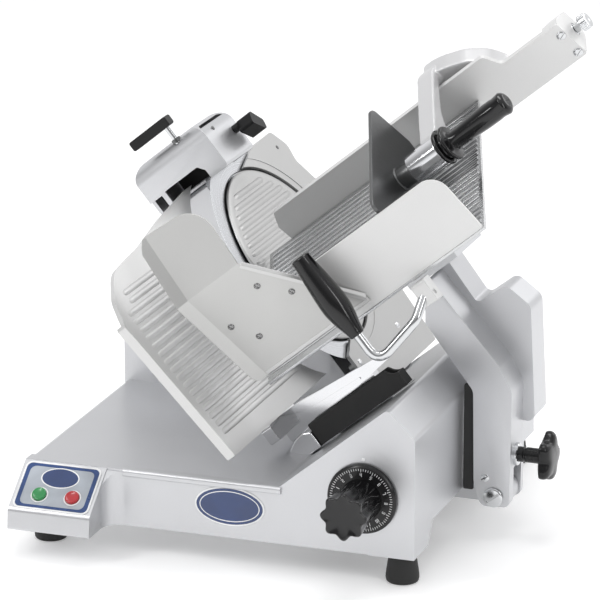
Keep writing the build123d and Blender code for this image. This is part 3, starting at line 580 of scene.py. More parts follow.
def make_stage():
    floor = slab("floor", rect(-9000, 9000, -9000, 9000), 400, 7, TOP, -20, -0.2)
    material, tree, shader = new_material("pale_floor", {"Roughness": 0.9, "Emission Color": (1, 1, 1, 1),
                                                         "Emission Strength": 0.22})
    fill(tree, shader, {"Base Color": mix_colour(tree, noise(tree, 3.0, 3.0), (0.90,) * 3, (0.93,) * 3)})
    floor.data.materials.append(material)
    world = bpy.data.worlds.new("studio")
    bpy.context.scene.world = world
    world.use_nodes = True
    tree = world.node_tree
    place = new_node(tree, "TexCoord", {}, "Generated")[1]
    split = new_node(tree, "SeparateXYZ", {0: place})[0]
    rise = spread(tree, split.outputs["Z"], 0.0, 1.0, (-1.0, 1.0))
    ahead = sky_ramp(tree, rise, ((0.0, 0.8), (0.49, 0.8), (0.52, 0.30), (0.66, 0.30), (0.84, 0.75),
                                  (1.0, 0.95)))
    behind = sky_ramp(tree, rise, ((0.0, 0.8), (0.50, 0.95), (0.66, 0.95), (0.84, 0.70), (1.0, 0.95)))
    values = {"Value": split.outputs["Y"], "From Min": -0.35, "From Max": 0.35}
    depth, far = new_node(tree, "MapRange", values, "Result")
    depth.interpolation_type = "SMOOTHSTEP"
    fill(tree, tree.nodes["Background"], {"Color": mix_colour(tree, far, ahead, behind), "Strength": 1.0})
    area_light("key", (-1.5, -1.7, 2.0), (0, 0, 0.3), (0.35, 1.8), 20)
    area_light("top", (0.1, 0.2, 2.8), (0, 0, 0.3), (1.6, 0.8), 18)
    area_light("fill", (2.0, -1.3, 1.4), (0, 0, 0.3), (0.25, 1.6), 8)
    area_light("rim", (1.4, 2.0, 1.8), (0, 0, 0.4), (1.6, 1.0), 8)
    bpy.context.scene.view_settings.view_transform = "Standard"


# ---- base ----------------------------------------------------------------------------------------
TOE_X = -180.0
RIDGE = (-36.0, 231.0)
CORNER_Z = 195.0
POD_X, POD_Y = -412.0, -62.0
REAR_Y, REAR_Z, REAR_S = 345.0, 215.0, -64.0
WALL = 6.0
LEGS = ((-BASE_W, -464), (-60, 0))                 # X ranges of the left and right legs
FEET = ((-500, 22), (-22, 22), (-500, 505), (-22, 505))
FOOT_NAMES = ("foot_front_left", "foot_front_right", "foot_rear_left", "foot_rear_right")


def make_base():
    section = [(-BASE_W, SIDE_Z), (0, SIDE_Z), (0, CORNER_Z), RIDGE, (TOE_X, DECK_Z), (-BASE_W, DECK_Z)]
    base = slab("base_casting", section, [0, 0, 10, 7, 16, 9], 7, FRONT, -BASE_D, 0)
    bay = [(-BASE_W, DECK_Z - 14), ((REAR_S - (DECK_Z - 14) * SIN) / COS, DECK_Z - 14),
           ((REAR_S - REAR_Z * SIN) / COS, REAR_Z), (-BASE_W, REAR_Z)]
    add(base, slab("bay", bay, [0, 0, 14, 14], 7, FRONT, -BASE_D, -REAR_Y))
    pod = [(20, SKIRT_Z), (POD_Y - 3, SKIRT_Z), (POD_Y, SIDE_Z), (0, DECK_Z - 0.6), (20, DECK_Z - 0.6)]
    add(base, slab("pod", pod, [0, 3, 9, 3, 0], 7, SIDE, -BASE_W, POD_X))
    web = [(POD_X - 8, 8), (POD_X - 8, -26)] + arc((POD_X + 25, -25), 25, 180, 90, 12) + [(POD_X + 25, 8)]
    slope = [(8, SKIRT_Z), (-27, SKIRT_Z), (-27, DECK_Z - 23), (-1, DECK_Z - 3), (8, DECK_Z - 3)]
    fairing = prism("fairing", web, TOP, SKIRT_Z, DECK_Z - 3)
    combine("INTERSECT", fairing, prism("slope", slope, SIDE, POD_X - 10, POD_X + 30))
    add(base, fairing, prism("skirt", rect(POD_X - 20, 0, 0, 7), TOP, SKIRT_Z, SIDE_Z + 8))
    for x0, x1 in LEGS:
        side = [(0, FOOT_H), (59, FOOT_H), (80, SIDE_Z + 5), (0, SIDE_Z + 5)]
        add(base, prism("leg", side, SIDE, x0, x1))
        back = [(BASE_D, FOOT_H), (BASE_D - 59, FOOT_H), (BASE_D - 80, SIDE_Z + 5), (BASE_D, SIDE_Z + 5)]
        add(base, prism("leg", back, SIDE, x0, x1))
    soften(base, 2.4, 4)
    hollow = [(-BASE_W + 7, 20), (-7, 20), (-7, CORNER_Z - 4), (RIDGE[0], RIDGE[1] - 10),
              (TOE_X + 2, DECK_Z - 7), (-BASE_W + 7, DECK_Z - 7)]
    cavity = prism("cavity", hollow, FRONT, -BASE_D + 7, -8)
    for x0, x1 in LEGS:
        for y0, y1 in ((0, 60), (BASE_D - 60, BASE_D)):
            cut(cavity, prism("leg_left", rect(x0 - 1, x1, y0, y1), TOP, 0, SIDE_Z))
    cut(base, cavity)
    cut(base, slab("slot", rect(172, 186, -40, 90), 0, 7, upright, INCLINE_B - 14, INCLINE_B + 8))
    dress(base, "root", SATIN, "base_casting")
    lip = rounded([(0, 103), (-4, 104.5), (-4, 111), (-1, 113.4), (6, 113.4), (12, 111.8), (12, 104)],
                  [0, 2, 3, 1.5, 3, 0, 0], 4)
    bead = prism("deck_lip", lip, SIDE, POD_X + 22, TOE_X + 4)
    dress(soften(bead, 0.8, 3), "root", SATIN)


VENTS, VENT_STEP, VENT_W = 6, 76, 8


def make_bottom_cover():
    """Flat sheet over the underside, with vent slots and holes for the feet."""
    x0, x1, y0, y1 = -BASE_W + 7, -150, 7, BASE_D - 7
    plate = slab("bottom_cover", rect(x0, x1, y0, y1), 5, 4, TOP, SIDE_Z, SIDE_Z + 2)
    for k in range(VENTS):
        y = y0 + 70 + VENT_STEP * k
        cut(plate, slab("vent", rect(x0 + 90, x1 - 90, y, y + VENT_W), 3.9, 4, TOP, SIDE_Z - 1, SIDE_Z + 3))
    for x, y in FEET[0], FEET[2]:
        drill(plate, 5, 24, (x, y), TOP, SIDE_Z - 1, SIDE_Z + 3)
    dress(soften(plate, 0.5, 2), "root", BRUSHED_Y, "bottom_cover")


def make_feet():
    """Tapered rubber feet with a rounded rim and a recessed stud underneath."""
    for name, (x, y) in zip(FOOT_NAMES, FEET):
        place = plane_at(at(x, y, 0), (1, 0, 0), (0, 1, 0))
        profile = [(0, 4), (6, 4), (6, 1.5), (7, 0.4), (9, 0), (18, 0)] + arc((18, 3), 3, -90, 0, 6)
        profile += [(21.4, 5), (21.3, 9), (20.4, 16), (19.0, 25), (17.9, 33), (17.2, 35.6), (16.5, FOOT_H),
                    (0, FOOT_H)]
        turned(name, profile, place, 72, "root", RUBBER, name)


# ---- control pod -----------------------------------------------------------------------------------
PANEL_RISE = Vector((0, -POD_Y, DECK_Z - 0.5 - SIDE_Z))
PANEL_L = PANEL_RISE.length
PANEL = plane_at(at(0, POD_Y, SIDE_Z), (1, 0, 0), PANEL_RISE)
PANEL_T = 1.6
BUTTON_R = 9.3
START, STOP = (-488.0, 25.3), (-443.0, 25.8)


def oval(a, b, centre, count=64):
    return [(centre[0] + a * x, centre[1] + b * y) for x, y in ring(1, count)]


def make_panel():
    """Overlay with a light rim, a dark-blue border and a grey field."""
    corners = rect(-BASE_W + 4, POD_X - 4, 3, PANEL_L - 3)
    middle_x = (-BASE_W + POD_X) / 2
    base = slab("control_panel", corners, 9, 8, PANEL, 0, PANEL_T - 0.3)
    inner = rounded(rect(-BASE_W + 6.2, POD_X - 6.2, 5.2, PANEL_L - 5.2), 7.5, 8)
    cut(base, prism("window", inner, PANEL, PANEL_T - 0.9, PANEL_T + 1))
    for x, d in (START, STOP):
        drill(base, BUTTON_R + 0.5, 48, (x, d), PANEL, -1, PANEL_T + 1)
    dress(soften(base, 0.25, 2), "root", WHITE, "control_panel")
    border = slab("panel_border", rect(-BASE_W + 6.6, POD_X - 6.6, 5.6, PANEL_L - 5.6), 7, 8, PANEL,
                  PANEL_T - 0.8, PANEL_T - 0.4)
    field = rounded(rect(-BASE_W + 12, POD_X - 12, 9.5, PANEL_L - 9.5), 8, 8)
    cut(border, prism("field", field, PANEL, PANEL_T - 2, PANEL_T))
    dress(border, "root", PANEL_BLUE)
    grey = slab("panel_field", rect(-BASE_W + 12.1, POD_X - 12.1, 9.6, PANEL_L - 9.6), 8, 8, PANEL,
                PANEL_T - 0.9, PANEL_T - 0.5)
    for x, d in (START, STOP):
        drill(grey, BUTTON_R + 2.4, 48, (x, d), PANEL, PANEL_T - 2, PANEL_T)
    dress(grey, "root", PANEL_GREY)
    for name, (x, d) in (("start", START), ("stop", STOP)):
        profile = [(BUTTON_R + 0.5, 0.7), (BUTTON_R + 2.3, 0.7), (BUTTON_R + 2.3, 1.35),
                   (BUTTON_R + 1.7, 1.6), (BUTTON_R + 0.9, 1.6), (BUTTON_R + 0.5, 1.3)]
        turned(name + "_bezel", profile, plane_at(PANEL(x, d, 0), (1, 0, 0), PANEL_RISE), 64, "root", WHITE)
    rim = prism("pod_badge_rim", oval(26, 15.5, (middle_x, 53)), PANEL, PANEL_T - 0.6, PANEL_T - 0.2)
    dress(rim, "root", WHITE)
    face = prism("pod_badge", oval(24.4, 13.9, (middle_x, 53)), PANEL, PANEL_T - 0.5, PANEL_T - 0.1)
    dress(face, "root", BADGE_BLUE)


def make_buttons():
    """Shallow dished heads with a rolled edge."""
    for name, body, (x, d), look in (("start_button", "start", START, GREEN),
                                     ("stop_button", "stop", STOP, RED)):
        place = plane_at(PANEL(x, d, 0), (1, 0, 0), PANEL_RISE)
        profile = [(0, 4.2), (4, 4.3), (6.4, 4.7)] + arc((7.9, 3.8), 1.4, 110, 0, 8)
        profile += [(BUTTON_R, 1.4), (0, 1.4)]
        turned(name, profile, place, 72, body, look, name)


def make_badge():
    """Blank enamelled oval in a thin bright frame, with a second fine line."""
    centre = (-245, 79.5)
    frame_ring = prism("badge", oval(47, 26, centre, 96), FRONT, 0, 1.2)
    dress(soften(frame_ring, 0.5, 2), "root", WHITE, "badge")
    dress(prism("badge_face", oval(44.6, 23.8, centre, 96), FRONT, 1.0, 1.5), "root", BADGE_BLUE)
    line = prism("badge_line", oval(40.5, 20.4, centre, 96), FRONT, 1.3, 1.58)
    cut(line, prism("inside", oval(39.3, 19.3, centre, 96), FRONT, 1, 2))
    dress(line, "root", WHITE)


def make_inlet():
    """Ribbed cord gland on the back, in black plastic."""
    place = plane_at(at(-470, BASE_D - WALL, 90), (1, 0, 0), (0, 0, -1))
    profile = [(4, -5), (7.9, -5), (7.9, 6.1), (13.5, 6.1)] + arc((13, 7.1), 1, -90, 0, 4)
    profile += [(14, 10.5), (12.5, 12)]
    for k in range(4):
        radius = 11 - 0.55 * k
        profile += [(radius, 12.6 + 2.8 * k), (radius, 14.2 + 2.8 * k), (radius - 1.3, 14.6 + 2.8 * k),
                    (radius - 1.3, 15.2 + 2.8 * k)]
    turned("power_inlet", profile + [(4, 24)], place, 64, "root", BLACK, "power_inlet")


# ---- index dial ------------------------------------------------------------------------------------
DIAL_R = 45.5
DIAL = plane_at(at(DIAL_X, 0, DIAL_Z), (1, 0, 0), (0, 0, 1))      # local z towards the operator
DIGITS = {0: "abcdef", 1: "bc", 2: "abged", 3: "abgcd", 4: "fgbc", 5: "afgcd", 6: "afgedc", 7: "abc",
          8: "abcdefg", 9: "abcdfg"}
DIGIT_W, DIGIT_H, STROKE = 2.6, 4.6, 0.75


def digit_bars(value, x0):
    """Rectangles of a plain seven-stroke figure, standing on y = 0."""
    w, h, t = DIGIT_W, DIGIT_H, STROKE
    strokes = {"a": (0, w, h - t, h), "g": (0, w, (h - t) / 2, (h + t) / 2), "d": (0, w, 0, t),
               "f": (0, t, h / 2, h), "b": (w - t, w, h / 2, h), "e": (0, t, 0, h / 2),
               "c": (w - t, w, 0, h / 2)}
    return [(x0 + strokes[k][0], x0 + strokes[k][1], strokes[k][2], strokes[k][3]) for k in DIGITS[value]]


def flat_bars(name, bars, low, high):
    """Many small raised rectangles in one mesh; each bar is (bounds, place)."""
    def build(bm):
        for bounds, place in bars:
            loft(bm, raised(rect(*bounds), place, low, high))
    return mesh_object(name, build)


DIAL_STEPS, DIAL_NUMBERS = 75, 15
DIAL_STEP, DIAL_SHIFT, DIAL_REACH = 4.6, 14, 41.3      # degrees, steps, millimetres
LONG_TICK, SHORT_TICK, DIGIT_GAP = 4.6, 3.0, 1.4
DIAL_ZERO = -28.0                    # degrees from the top to the zero mark, clockwise


def dial_marks():
    """Tick marks and numbers around the dial's face."""
    bars = []
    start = 90 - DIAL_ZERO + DIAL_STEP * DIAL_SHIFT
    for k in range(DIAL_STEPS):
        length = SHORT_TICK if k % 5 else LONG_TICK
        bars.append(((-0.33, 0.33, DIAL_REACH - length, DIAL_REACH), radial_place(start - DIAL_STEP * k)))
    foot = DIAL_REACH - LONG_TICK - DIGIT_GAP - DIGIT_H
    for k in range(DIAL_NUMBERS):
        tens, ones = divmod(k, 10)
        wide = 2 * DIGIT_W + 0.9 if tens else DIGIT_W
        figures = digit_bars(ones, wide / 2 - DIGIT_W) + (digit_bars(tens, -wide / 2) if tens else [])
        place = radial_place(start - 5 * DIAL_STEP * k)
        bars += [((x0, x1, y0 + foot, y1 + foot), place) for x0, x1, y0, y1 in figures]
    return bars


def radial_place(degrees):
    """Local axes with y pointing outwards at an angle of the dial's face."""
    angle = math.radians(degrees)
    out = Vector((math.cos(angle), math.sin(angle)))
    side = Vector((out.y, -out.x))

    def place(x, y, z=0.0):
        p = side * x + out * y
        return DIAL(p.x, p.y, z)
    return place


def make_dial():
    profile = [(0, 0.5), (44.6, 0.5), (DIAL_R, 1.3), (DIAL_R, 5.2), (44.9, 6.2), (42.8, 8.1), (42.0, 8.5),
               (0, 8.5)]
    dial = soften(lathe("index_dial", profile, DIAL, 144), 0)
    dress(dial, "index", BLACK_SATIN, "index_dial")
    marks = flat_bars("dial_marks", dial_marks(), 8.3, 8.62)
    dress(marks, "index", WHITE, slot="black_plastic")
    pointer = lathe("dial_pointer", [(0, 0), (2.3, 0), (2.3, 0.5), (1.6, 1.0), (0, 1.2)],
                    plane_at(at(DIAL_X, 0, DIAL_Z + 50.4), (1, 0, 0), (0, 0, 1)), 32)
    dress(pointer, "root", WHITE, slot="cast_aluminium")


KNOB_STEPS = 160


def knob(name, place, lobes, layers):
    """A hand knob through (radius, dip, height) layers: circles with smooth hollows between their lobes."""
    rows = []
    for radius, dip, height in layers:
        row = []
        for k in range(KNOB_STEPS):
            a = 2 * math.pi * k / KNOB_STEPS
            r = radius - dip * (1 - (0.5 + 0.5 * math.cos(lobes * a)))
            row.append(place(r * math.cos(a), r * math.sin(a), height))
        rows.append(row)
    return lofted(name, rows)


def make_knob():
    """Index knob: a skirt flaring from the dial to a fluted grip with a dished face."""
    layers = [(27.5, 0.0, 8.4), (27.0, 0.1, 12), (26.2, 0.5, 17), (26.5, 1.6, 26), (27.6, 3.4, 38),
              (28.9, 4.6, 52), (30.0, 5.2, 66), (30.7, 5.4, 74), (30.8, 5.4, 76.4), (30.0, 5.2, 78.0),
              (28.6, 4.9, 78.9), (26.5, 4.4, 78.6), (20, 2.0, 77.2), (10, 0.3, 76.4), (2, 0, 76.2)]
    dress(soften(knob("index_knob", DIAL, 8, layers), 0), "index", BLACK_GLOSS, "index_knob")


# ---- gauge -----------------------------------------------------------------------------------------
GAUGE_EDGE = [(-17, 266), (-46, 478), (-26, 513), (18, 542), (127, 551), (214, 564), (330, 575), (400, 575),
              (400, 266)]
GAUGE_RADII = [6, 40, 30, 60, 120, 200, 8, 0, 0]
RIB_STEP, RIB_COUNT, RIB_B = 12.6, 18, 296.0
RIB_W, RIB_H, RIB_SIDES = 8.8, 1.9, 8
# How a ridge grows from its ends: (distance from the end, share of its size).
RIB_TAPER = [(0, 0.02), (1.5, 0.25), (4, 0.6), (7, 0.85), (11, 1.0)]


def ridge(y0, y1, b, base):
    """A long half-round ridge with tapered ends, standing on slant height base."""
    along = [(y0 + d, grow) for d, grow in RIB_TAPER] + [(y1 - d, grow) for d, grow in reversed(RIB_TAPER)]
    rows = []
    for y, grow in along:
        wide = 0.55 + 0.45 * grow
        angles = [math.pi * k / RIB_SIDES for k in range(RIB_SIDES + 1)]
        rows.append([SLANT(y, b - RIB_W / 2 * math.cos(a) * wide, base
                           + RIB_H * math.sin(a) * grow) for a in angles])
    return lofted("ridge", rows)


def gauge_left(b):
    """The gauge plate's near edge at a given b, as a y."""
    return -17 + (b - 266) / (478 - 266) * -29


def make_gauge():
    """Gauge plate with a bright folded near edge, round ridges and the groove field between them."""
    plate = slab("gauge_plate", GAUGE_EDGE, GAUGE_RADII, 10, SLANT, GAUGE_S - 6, GAUGE_S)
    add(plate, slab("fold", [(-17, 266), (-46, 478), (-42, 484), (-11, 266)], [2, 3, 2, 2], 4, SLANT,
                    GAUGE_S - 13, GAUGE_S - 0.5))
    drill(plate, KNIFE_R + 3.5, 160, (KNIFE_Y, KNIFE_B), SLANT, GAUGE_S - 30, GAUGE_S + 5)
    dress(soften(plate, 1.2, 3), "gauge", PLATE, "gauge_plate")
    ridges = []
    for k in range(RIB_COUNT):
        b = RIB_B + RIB_STEP * k + 2.5
        start = max(gauge_left(b) + 14, -20 if b < 500 else 4)
        reach = (KNIFE_R + 6.5) ** 2 - (b - KNIFE_B) ** 2
        end = KNIFE_Y - math.sqrt(reach) if reach > 0 else 330
        if end - start > 20:
            ridges.append(ridge(start, min(end, 330), b, GAUGE_S - 0.2))
    dress(soften(joined("gauge_ridges", ridges), 0), "gauge", PLATE)


def make_bracket():
    """Polished cast wedge under the gauge plate with its tongue into the slope."""
    corners = [(-94, 226), (-94, 265.5), (-52, 265.5), (95, 252), (95, 245), (-40, 229)]
    wedge = slab("gauge_bracket", corners, [5, 6, 8, 3, 3, 12], 6, ACROSS, -168, -160)
    rib = [(-88, 247), (-50, 247), (20, 243), (40, 243), (40, 246), (-50, 251), (-88, 251)]
    add(wedge, slab("rib", rib, 1.5, 3, ACROSS, -162, -158.6))
    add(wedge, prism("web", rect(167, 176, 233, 248), SLANT, -38, 54))
    add(wedge, prism("tongue", rect(174, 184, INCLINE_B - 10, 248), SLANT, -38, 54))
    add(wedge, slab("block", rect(120, 215, 242, 265.5), 4, 4, SLANT, -101, -86))
    dress(soften(wedge, 1.0, 3), "gauge", POLISHED, "gauge_bracket")


FOLDS, FOLD_STEP = 12, 11.6


def make_boot():
    """Rubber trough over the slot: two long lips, a scooped end and a row of folds."""
    boot = slab("gauge_boot", rect(136, 158, INCLINE_B + 0.2, 236), [0, 0, 4, 4], 5, SLANT, -50, 98)
    cut(boot, slab("trough", rect(141, 153, 211, 244), [5, 5, 0, 0], 6, SLANT, -46, 94))
    scoop = ring(16, 48, (98, 240))
    cut(boot, prism("scoop", scoop, ACROSS, -160, -134))
    dress(soften(boot, 1.1, 3), "root", RUBBER, "gauge_boot")
    folds = []
    for k in range(FOLDS):
        s = -44 + FOLD_STEP * k
        fold = rounded(rect(141.2, 152.8, 210.6, 213.4), 1.2, 3)
        folds.append(prism("fold", fold, SLANT, s, s + 5))
    dress(soften(joined("boot_folds", folds), 0), "root", RUBBER)


def make_boot_seat():
    """Rounded cast seat at the lower end of the boot."""
    loop = rounded([(-118, INCLINE_B - 1), (-50.5, INCLINE_B - 1), (-50.5, 226), (-62, 232), (-76, 230),
                    (-118, 207)], [0, 0, 3, 10, 12, 10], 8)
    seat = prism("boot_seat", loop, ACROSS, -166, -132)
    dress(soften(seat, 5, 6), "root", POLISHED, slot="cast_aluminium")


# ---- knife -----------------------------------------------------------------------------------------
def make_knife():
    """Hollow-ground blade: flat back, polished front bevel, and inside it a dark steel ring at the relief
    groove, painted shade for the gap between knife cover and guard plate.
    """
    profile = [(22, -52), (152, -52), (164.2, -47.8), (KNIFE_R, -47.1), (KNIFE_R, -47), (164.2, -46.95),
               (158, -47.2), (150, -47.75), (140, -48.3), (136.8, -48.4), (136.0, -49.2), (128, -49.6),
               (22, -49.6)]
    turned("knife_blade", profile, KNIFE, 256, "knife", KNIFE_STEEL, "knife_blade")
    # A dark steel ring showing between knife cover and guard plate: painted shade for that gap.
    turned("knife_gap_shade_ring", [(COVER_R - 6, -49.7), (137.0, -49.7), (137.0, -48.3), (136.2, -48.3),
                            (135.6, -49.3), (COVER_R - 6, -49.5)], KNIFE, 200, "knife", DARK_STEEL,
           slot="knife_steel")


COVER_RIBS, COVER_RIB_STEP = 9, 12.4


def make_cover():
    """Domed knife cover with a rolled edge and pressed parallel ribs."""
    profile = [(0, -132), (8, -132), (8, -46.4), (COVER_R - 0.6, -46.4), (COVER_R, -46.0), (COVER_R, -45.2),
               (COVER_R - 0.5, -44.2), (COVER_R - 1.6, -43.6), (COVER_R - 3.5, -43.2), (COVER_R - 8, -43.0),
               (COVER_R - 11, -43.25), (COVER_R - 14, -43.25), (COVER_R - 17, -43.0), (60, -42.8),
               (0, -42.7)]
    turned("knife_cover", profile, KNIFE, 224, "root", COVER_METAL, "knife_cover")
    ribs = []
    for k in range(COVER_RIBS):
        b = KNIFE_B + 109 - COVER_RIB_STEP * k
        half = math.sqrt((COVER_R - 13) ** 2 - (b - KNIFE_B) ** 2)
        near, far = KNIFE_Y - half, KNIFE_Y + half
        ribs.append(ridge(near, far, b, -43.2))
    dress(soften(joined("cover_ribs", ribs), 0), "root", COVER_METAL)


GUARD_EDGE = [(436, 553), (493, 568), (572, 571), (592, 543), (584, 518), (602, 477), (614, 430),
              (612, 300), (600, INCLINE_B), (343, INCLINE_B), (343, 268), (378, 282)]
GUARD_RADII = [2, 20, 12, 12, 10, 22, 30, 40, 6, 4, 4, 2]
GUARD_POSTS = ((525.0, 255.0), (358.0, 252.0))


def make_guard_plate():
    """Ring guard around the knife, with a wrapped rim and a stepped inner edge."""
    plate = slab("guard_plate", GUARD_EDGE, GUARD_RADII, 8, SLANT, -46, -41)
    drill(plate, COVER_R + 3.5, 224, (KNIFE_Y, KNIFE_B), SLANT, -47, -40)
    step = ring(KNIFE_R - 14, 224, (KNIFE_Y, KNIFE_B))
    cut(plate, prism("step", step, SLANT, -41.8, -40))
    rim = [(510, 568.5), (572, 571), (592, 543), (584, 518), (602, 477), (614, 430), (612, 300),
           (600, INCLINE_B)]
    inner = [(596, INCLINE_B), (607, 300), (609, 430), (597, 476), (579, 518), (586, 543), (569, 566),
             (510, 563.5)]
    radii = [0, 12, 12, 10, 22, 30, 40, 0, 0, 38, 28, 20, 12, 9, 9, 0]
    add(plate, slab("rim", rim + inner, radii, 8, SLANT, -92, -43))
    for y, b in GUARD_POSTS:
        add(plate, prism("post", ring(4, 32, (y, b)), SLANT, -58, -44))
    dress(soften(plate, 0.9, 3), "root", COVER_METAL, "guard_plate")


def pan_head(name, place, radius, height, slots=1):
    """A domed screw head with a slot, or a cross of two."""
    profile = [(0, height), (radius * 0.35, height * 0.98), (radius * 0.72, height * 0.82),
               (radius * 0.94, height * 0.45), (radius, height * 0.12), (radius, -0.3), (0, -0.3)]
    head = lathe(name, profile, place, 40)
    width = radius * 0.13
    cut(head, prism("slot", rect(-radius * 1.1, radius * 1.1, -width, width), place, height * 0.5,
                    height * 2))
    if slots > 1:
        cut(head, prism("slot", rect(-width, width, -radius * 1.1, radius * 1.1), place, height * 0.5,
                        height * 2))
    return head


def make_guard_plate_screws():
    heads = []
    for y, b in GUARD_POSTS:
        heads.append(pan_head("screw", plane_at(slant(y, b, -41), (0, 1, 0.2), AXIS_B), 5, 1.6))
    dress(soften(joined("guard_plate_screws", heads), 0), "root", CHROME, "guard_plate_screws")
    for name, centre in (("guard_dowel", (560, 548)), ("guard_dowel_low", (575, 330))):
        place = plane_at(slant(*centre, -41), (0, 1, 0), AXIS_B)
        turned(name, [(0, -0.2), (3, -0.2), (3, 0.3), (2.2, 0.7), (0, 0.4)], place, 32, "root", DARK_STEEL)


def make_housing():
    """Tower behind the knife: a rounded casting that stands on the base, hollow inside."""
    outer = rounded(rect(350, 560, INCLINE_B - 40, 480), [0, 0, 70, 70], 14)
    tower = prism("knife_housing", outer, SLANT, -140, -58)
    collar = prism("collar", ring(62, 96, (KNIFE_Y, KNIFE_B)), SLANT, -64, -55)
    add(tower, collar)
    add(tower, slab("post", rect(366, 412, 478, 566), 6, 4, SLANT, -112, -70))
    add(tower, slab("pad", rect(372, 538, 232, 330), 18, 8, SLANT, -142, -139))
    soften(tower, 3.2, 5)
    cut(tower, prism("below", rect(-BASE_W - 50, 40, 0, REAR_Z - 0.4), FRONT, -700, -300))
    hollow = rounded(rect(356, 554, INCLINE_B - 60, 474), [0, 0, 64, 64], 12)
    cut(tower, prism("hollow", hollow, SLANT, -134, -64))
    drill(tower, 30, 64, (KNIFE_Y, KNIFE_B), SLANT, -66, -50)
    dress(tower, "root", SATIN, "knife_housing")


# ---- sharpener -------------------------------------------------------------------------------------
SHARP_Y0, SHARP_Y1, SHARP_B0, SHARP_B1 = 320.0, 420.0, 566.0, 636.0
SHARP_S0, SHARP_S1 = -130.0, -4.0
TEE_Y, TEE_S = 331.0, -48.0


def tee_place(x, y, z):
    """Local axes about the T-handle's rod, with z up along b."""
    return slant(TEE_Y + x, z, TEE_S + y)


def make_sharpener():
    """Cast cap: softly rounded on top, hollow below, with windows to the front."""
    side = slab("sharpener_housing", rect(SHARP_Y0, SHARP_Y1, SHARP_B0, SHARP_B1), [0, 0, 16, 22], 10,
                SLANT, SHARP_S0, SHARP_S1)
    front = rounded(rect(SHARP_S0, SHARP_S1, SHARP_B0, SHARP_B1), [5, 5, 24, 20], 12)
    combine("INTERSECT", side, prism("front", front, ACROSS, -SHARP_Y1 - 5, -SHARP_Y0 + 5))
    soften(side, 3.5, 5)
    hollow = rounded(rect(SHARP_Y0 + 5, SHARP_Y1 - 5, SHARP_B0 - 20, SHARP_B1 - 5), [0, 0, 12, 16], 6)
    cut(side, prism("hollow", hollow, SLANT, SHARP_S0 + 5, SHARP_S1 - 5))
    windows = (([(-102, 560), (-35, 560), (-35, 579), (-43, 589), (-102, 589)], [0, 0, 3, 3, 1.5]),
               ([(SHARP_S0 - 2, 560), (-109, 560), (-109, 587), (SHARP_S0 - 2, 587)], [0, 0, 1.5, 0]))
    for loop, radii in windows:
        cut(side, slab("window", loop, radii, 4, ACROSS, -SHARP_Y0 - 6, -SHARP_Y0 + 6))
    cut(side, slab("window", rect(-56, -40, 560, 592), 1.5, 3, ACROSS, -SHARP_Y1 - 6, -SHARP_Y1 + 6))
    drill(side, 4.6, 24, (TEE_Y, TEE_S), upright, SHARP_B1 - 8, SHARP_B1 + 4)
    dress(side, "root", SATIN, "sharpener_housing")
    shelf = slab("sharpener_shelf", rect(362, 416, SHARP_B0, SHARP_B0 + 5), 1.5, 3, SLANT, SHARP_S0 + 4,
                 -64)
    dress(soften(shelf, 0.8, 2), "root", SATIN_SHADED)
    # A thin black sheet inside the hollow cap, behind the windows: painted shade for the cap's dark inside.
    shade_sheet_outline = rounded(rect(-122, -28, SHARP_B0 + 1, 628), [2, 2, 8, 8], 5)
    back = prism("sharpener_shade_sheet", shade_sheet_outline, ACROSS, -SHARP_Y1 + 8, -SHARP_Y1 + 6)
    dress(soften(back, 0.3, 2), "root", BLACK)
    turned("rod_bush", [(4.6, SHARP_B1 - 5), (6.6, SHARP_B1 - 5), (6.6, SHARP_B1 + 0.5),
                        (6, SHARP_B1 + 0.9), (4.6, SHARP_B1 + 0.8)], tee_place, 40, "root", DARK_STEEL)
    pin = plane_at(slant(352, 618, SHARP_S1), (0, 1, 0), AXIS_B)
    dress(soften(pan_head("side_pin", pin, 3, 0.5), 0), "root", DARK_STEEL)


def make_tee():
    """T-handle: a soft-cornered bar on a bright rod, with its yoke inside."""
    bar = slab("sharpener_tee", rect(-104, -38, 655, 669), 3, 6, ACROSS, -TEE_Y - 9, -TEE_Y + 9)
    dress(soften(bar, 1.6, 4), "tee", BLACK, "sharpener_tee")
    turned("tee_rod", [(0, 613), (4, 613), (4.5, 614), (4.5, 657), (0, 657)], tee_place, 40, "tee", CHROME)
    yoke = slab("tee_yoke", rect(-90, -42, 612, 624), 2, 3, ACROSS, -TEE_Y - 5, -TEE_Y + 5)
    arm = slab("arm", rect(TEE_Y, 382, 596, 624), 2, 3, SLANT, -90, -82)
    dress(soften(add(yoke, arm), 0.8, 2), "tee", DARK_STEEL)
    turned("stone_spindle", [(0, -84), (4, -84), (4, -70.5), (0, -70.5)],
           plane_at(slant(377, 602, 0), (0, 1, 0), AXIS_B), 32, "tee", CHROME)


def make_stones():
    for name, body, centre, radius, s0, s1 in (("grinding_stone", "stone", (377, 602), 13, -76, -68),
                                               ("truing_stone", "lever", (402, 600), 12, -38, -30)):
        place = plane_at(slant(*centre, 0), (0, 1, 0), AXIS_B)
        bore = 4.05 if name == "grinding_stone" else 0
        profile = [(bore, s0), (radius - 1, s0), (radius, s0 + 1), (radius, s1 - 1), (radius - 1, s1),
                   (bore + 5, s1), (bore + 4, s1 - 1.2), (bore, s1 - 1.2)]
        turned(name, profile, place, 72, body, STONE, name)


def make_lever():
    loop = rounded([(394, 593), (420, 574), (426, 588), (406, 609)], 4, 6)
    lever = prism("truing_lever", loop, SLANT, 4, 28)
    add(lever, prism("shaft", ring(6, 40, (402, 600)), SLANT, -30, 6))
    dress(soften(lever, 2.0, 4), "lever", BLACK, "truing_lever")


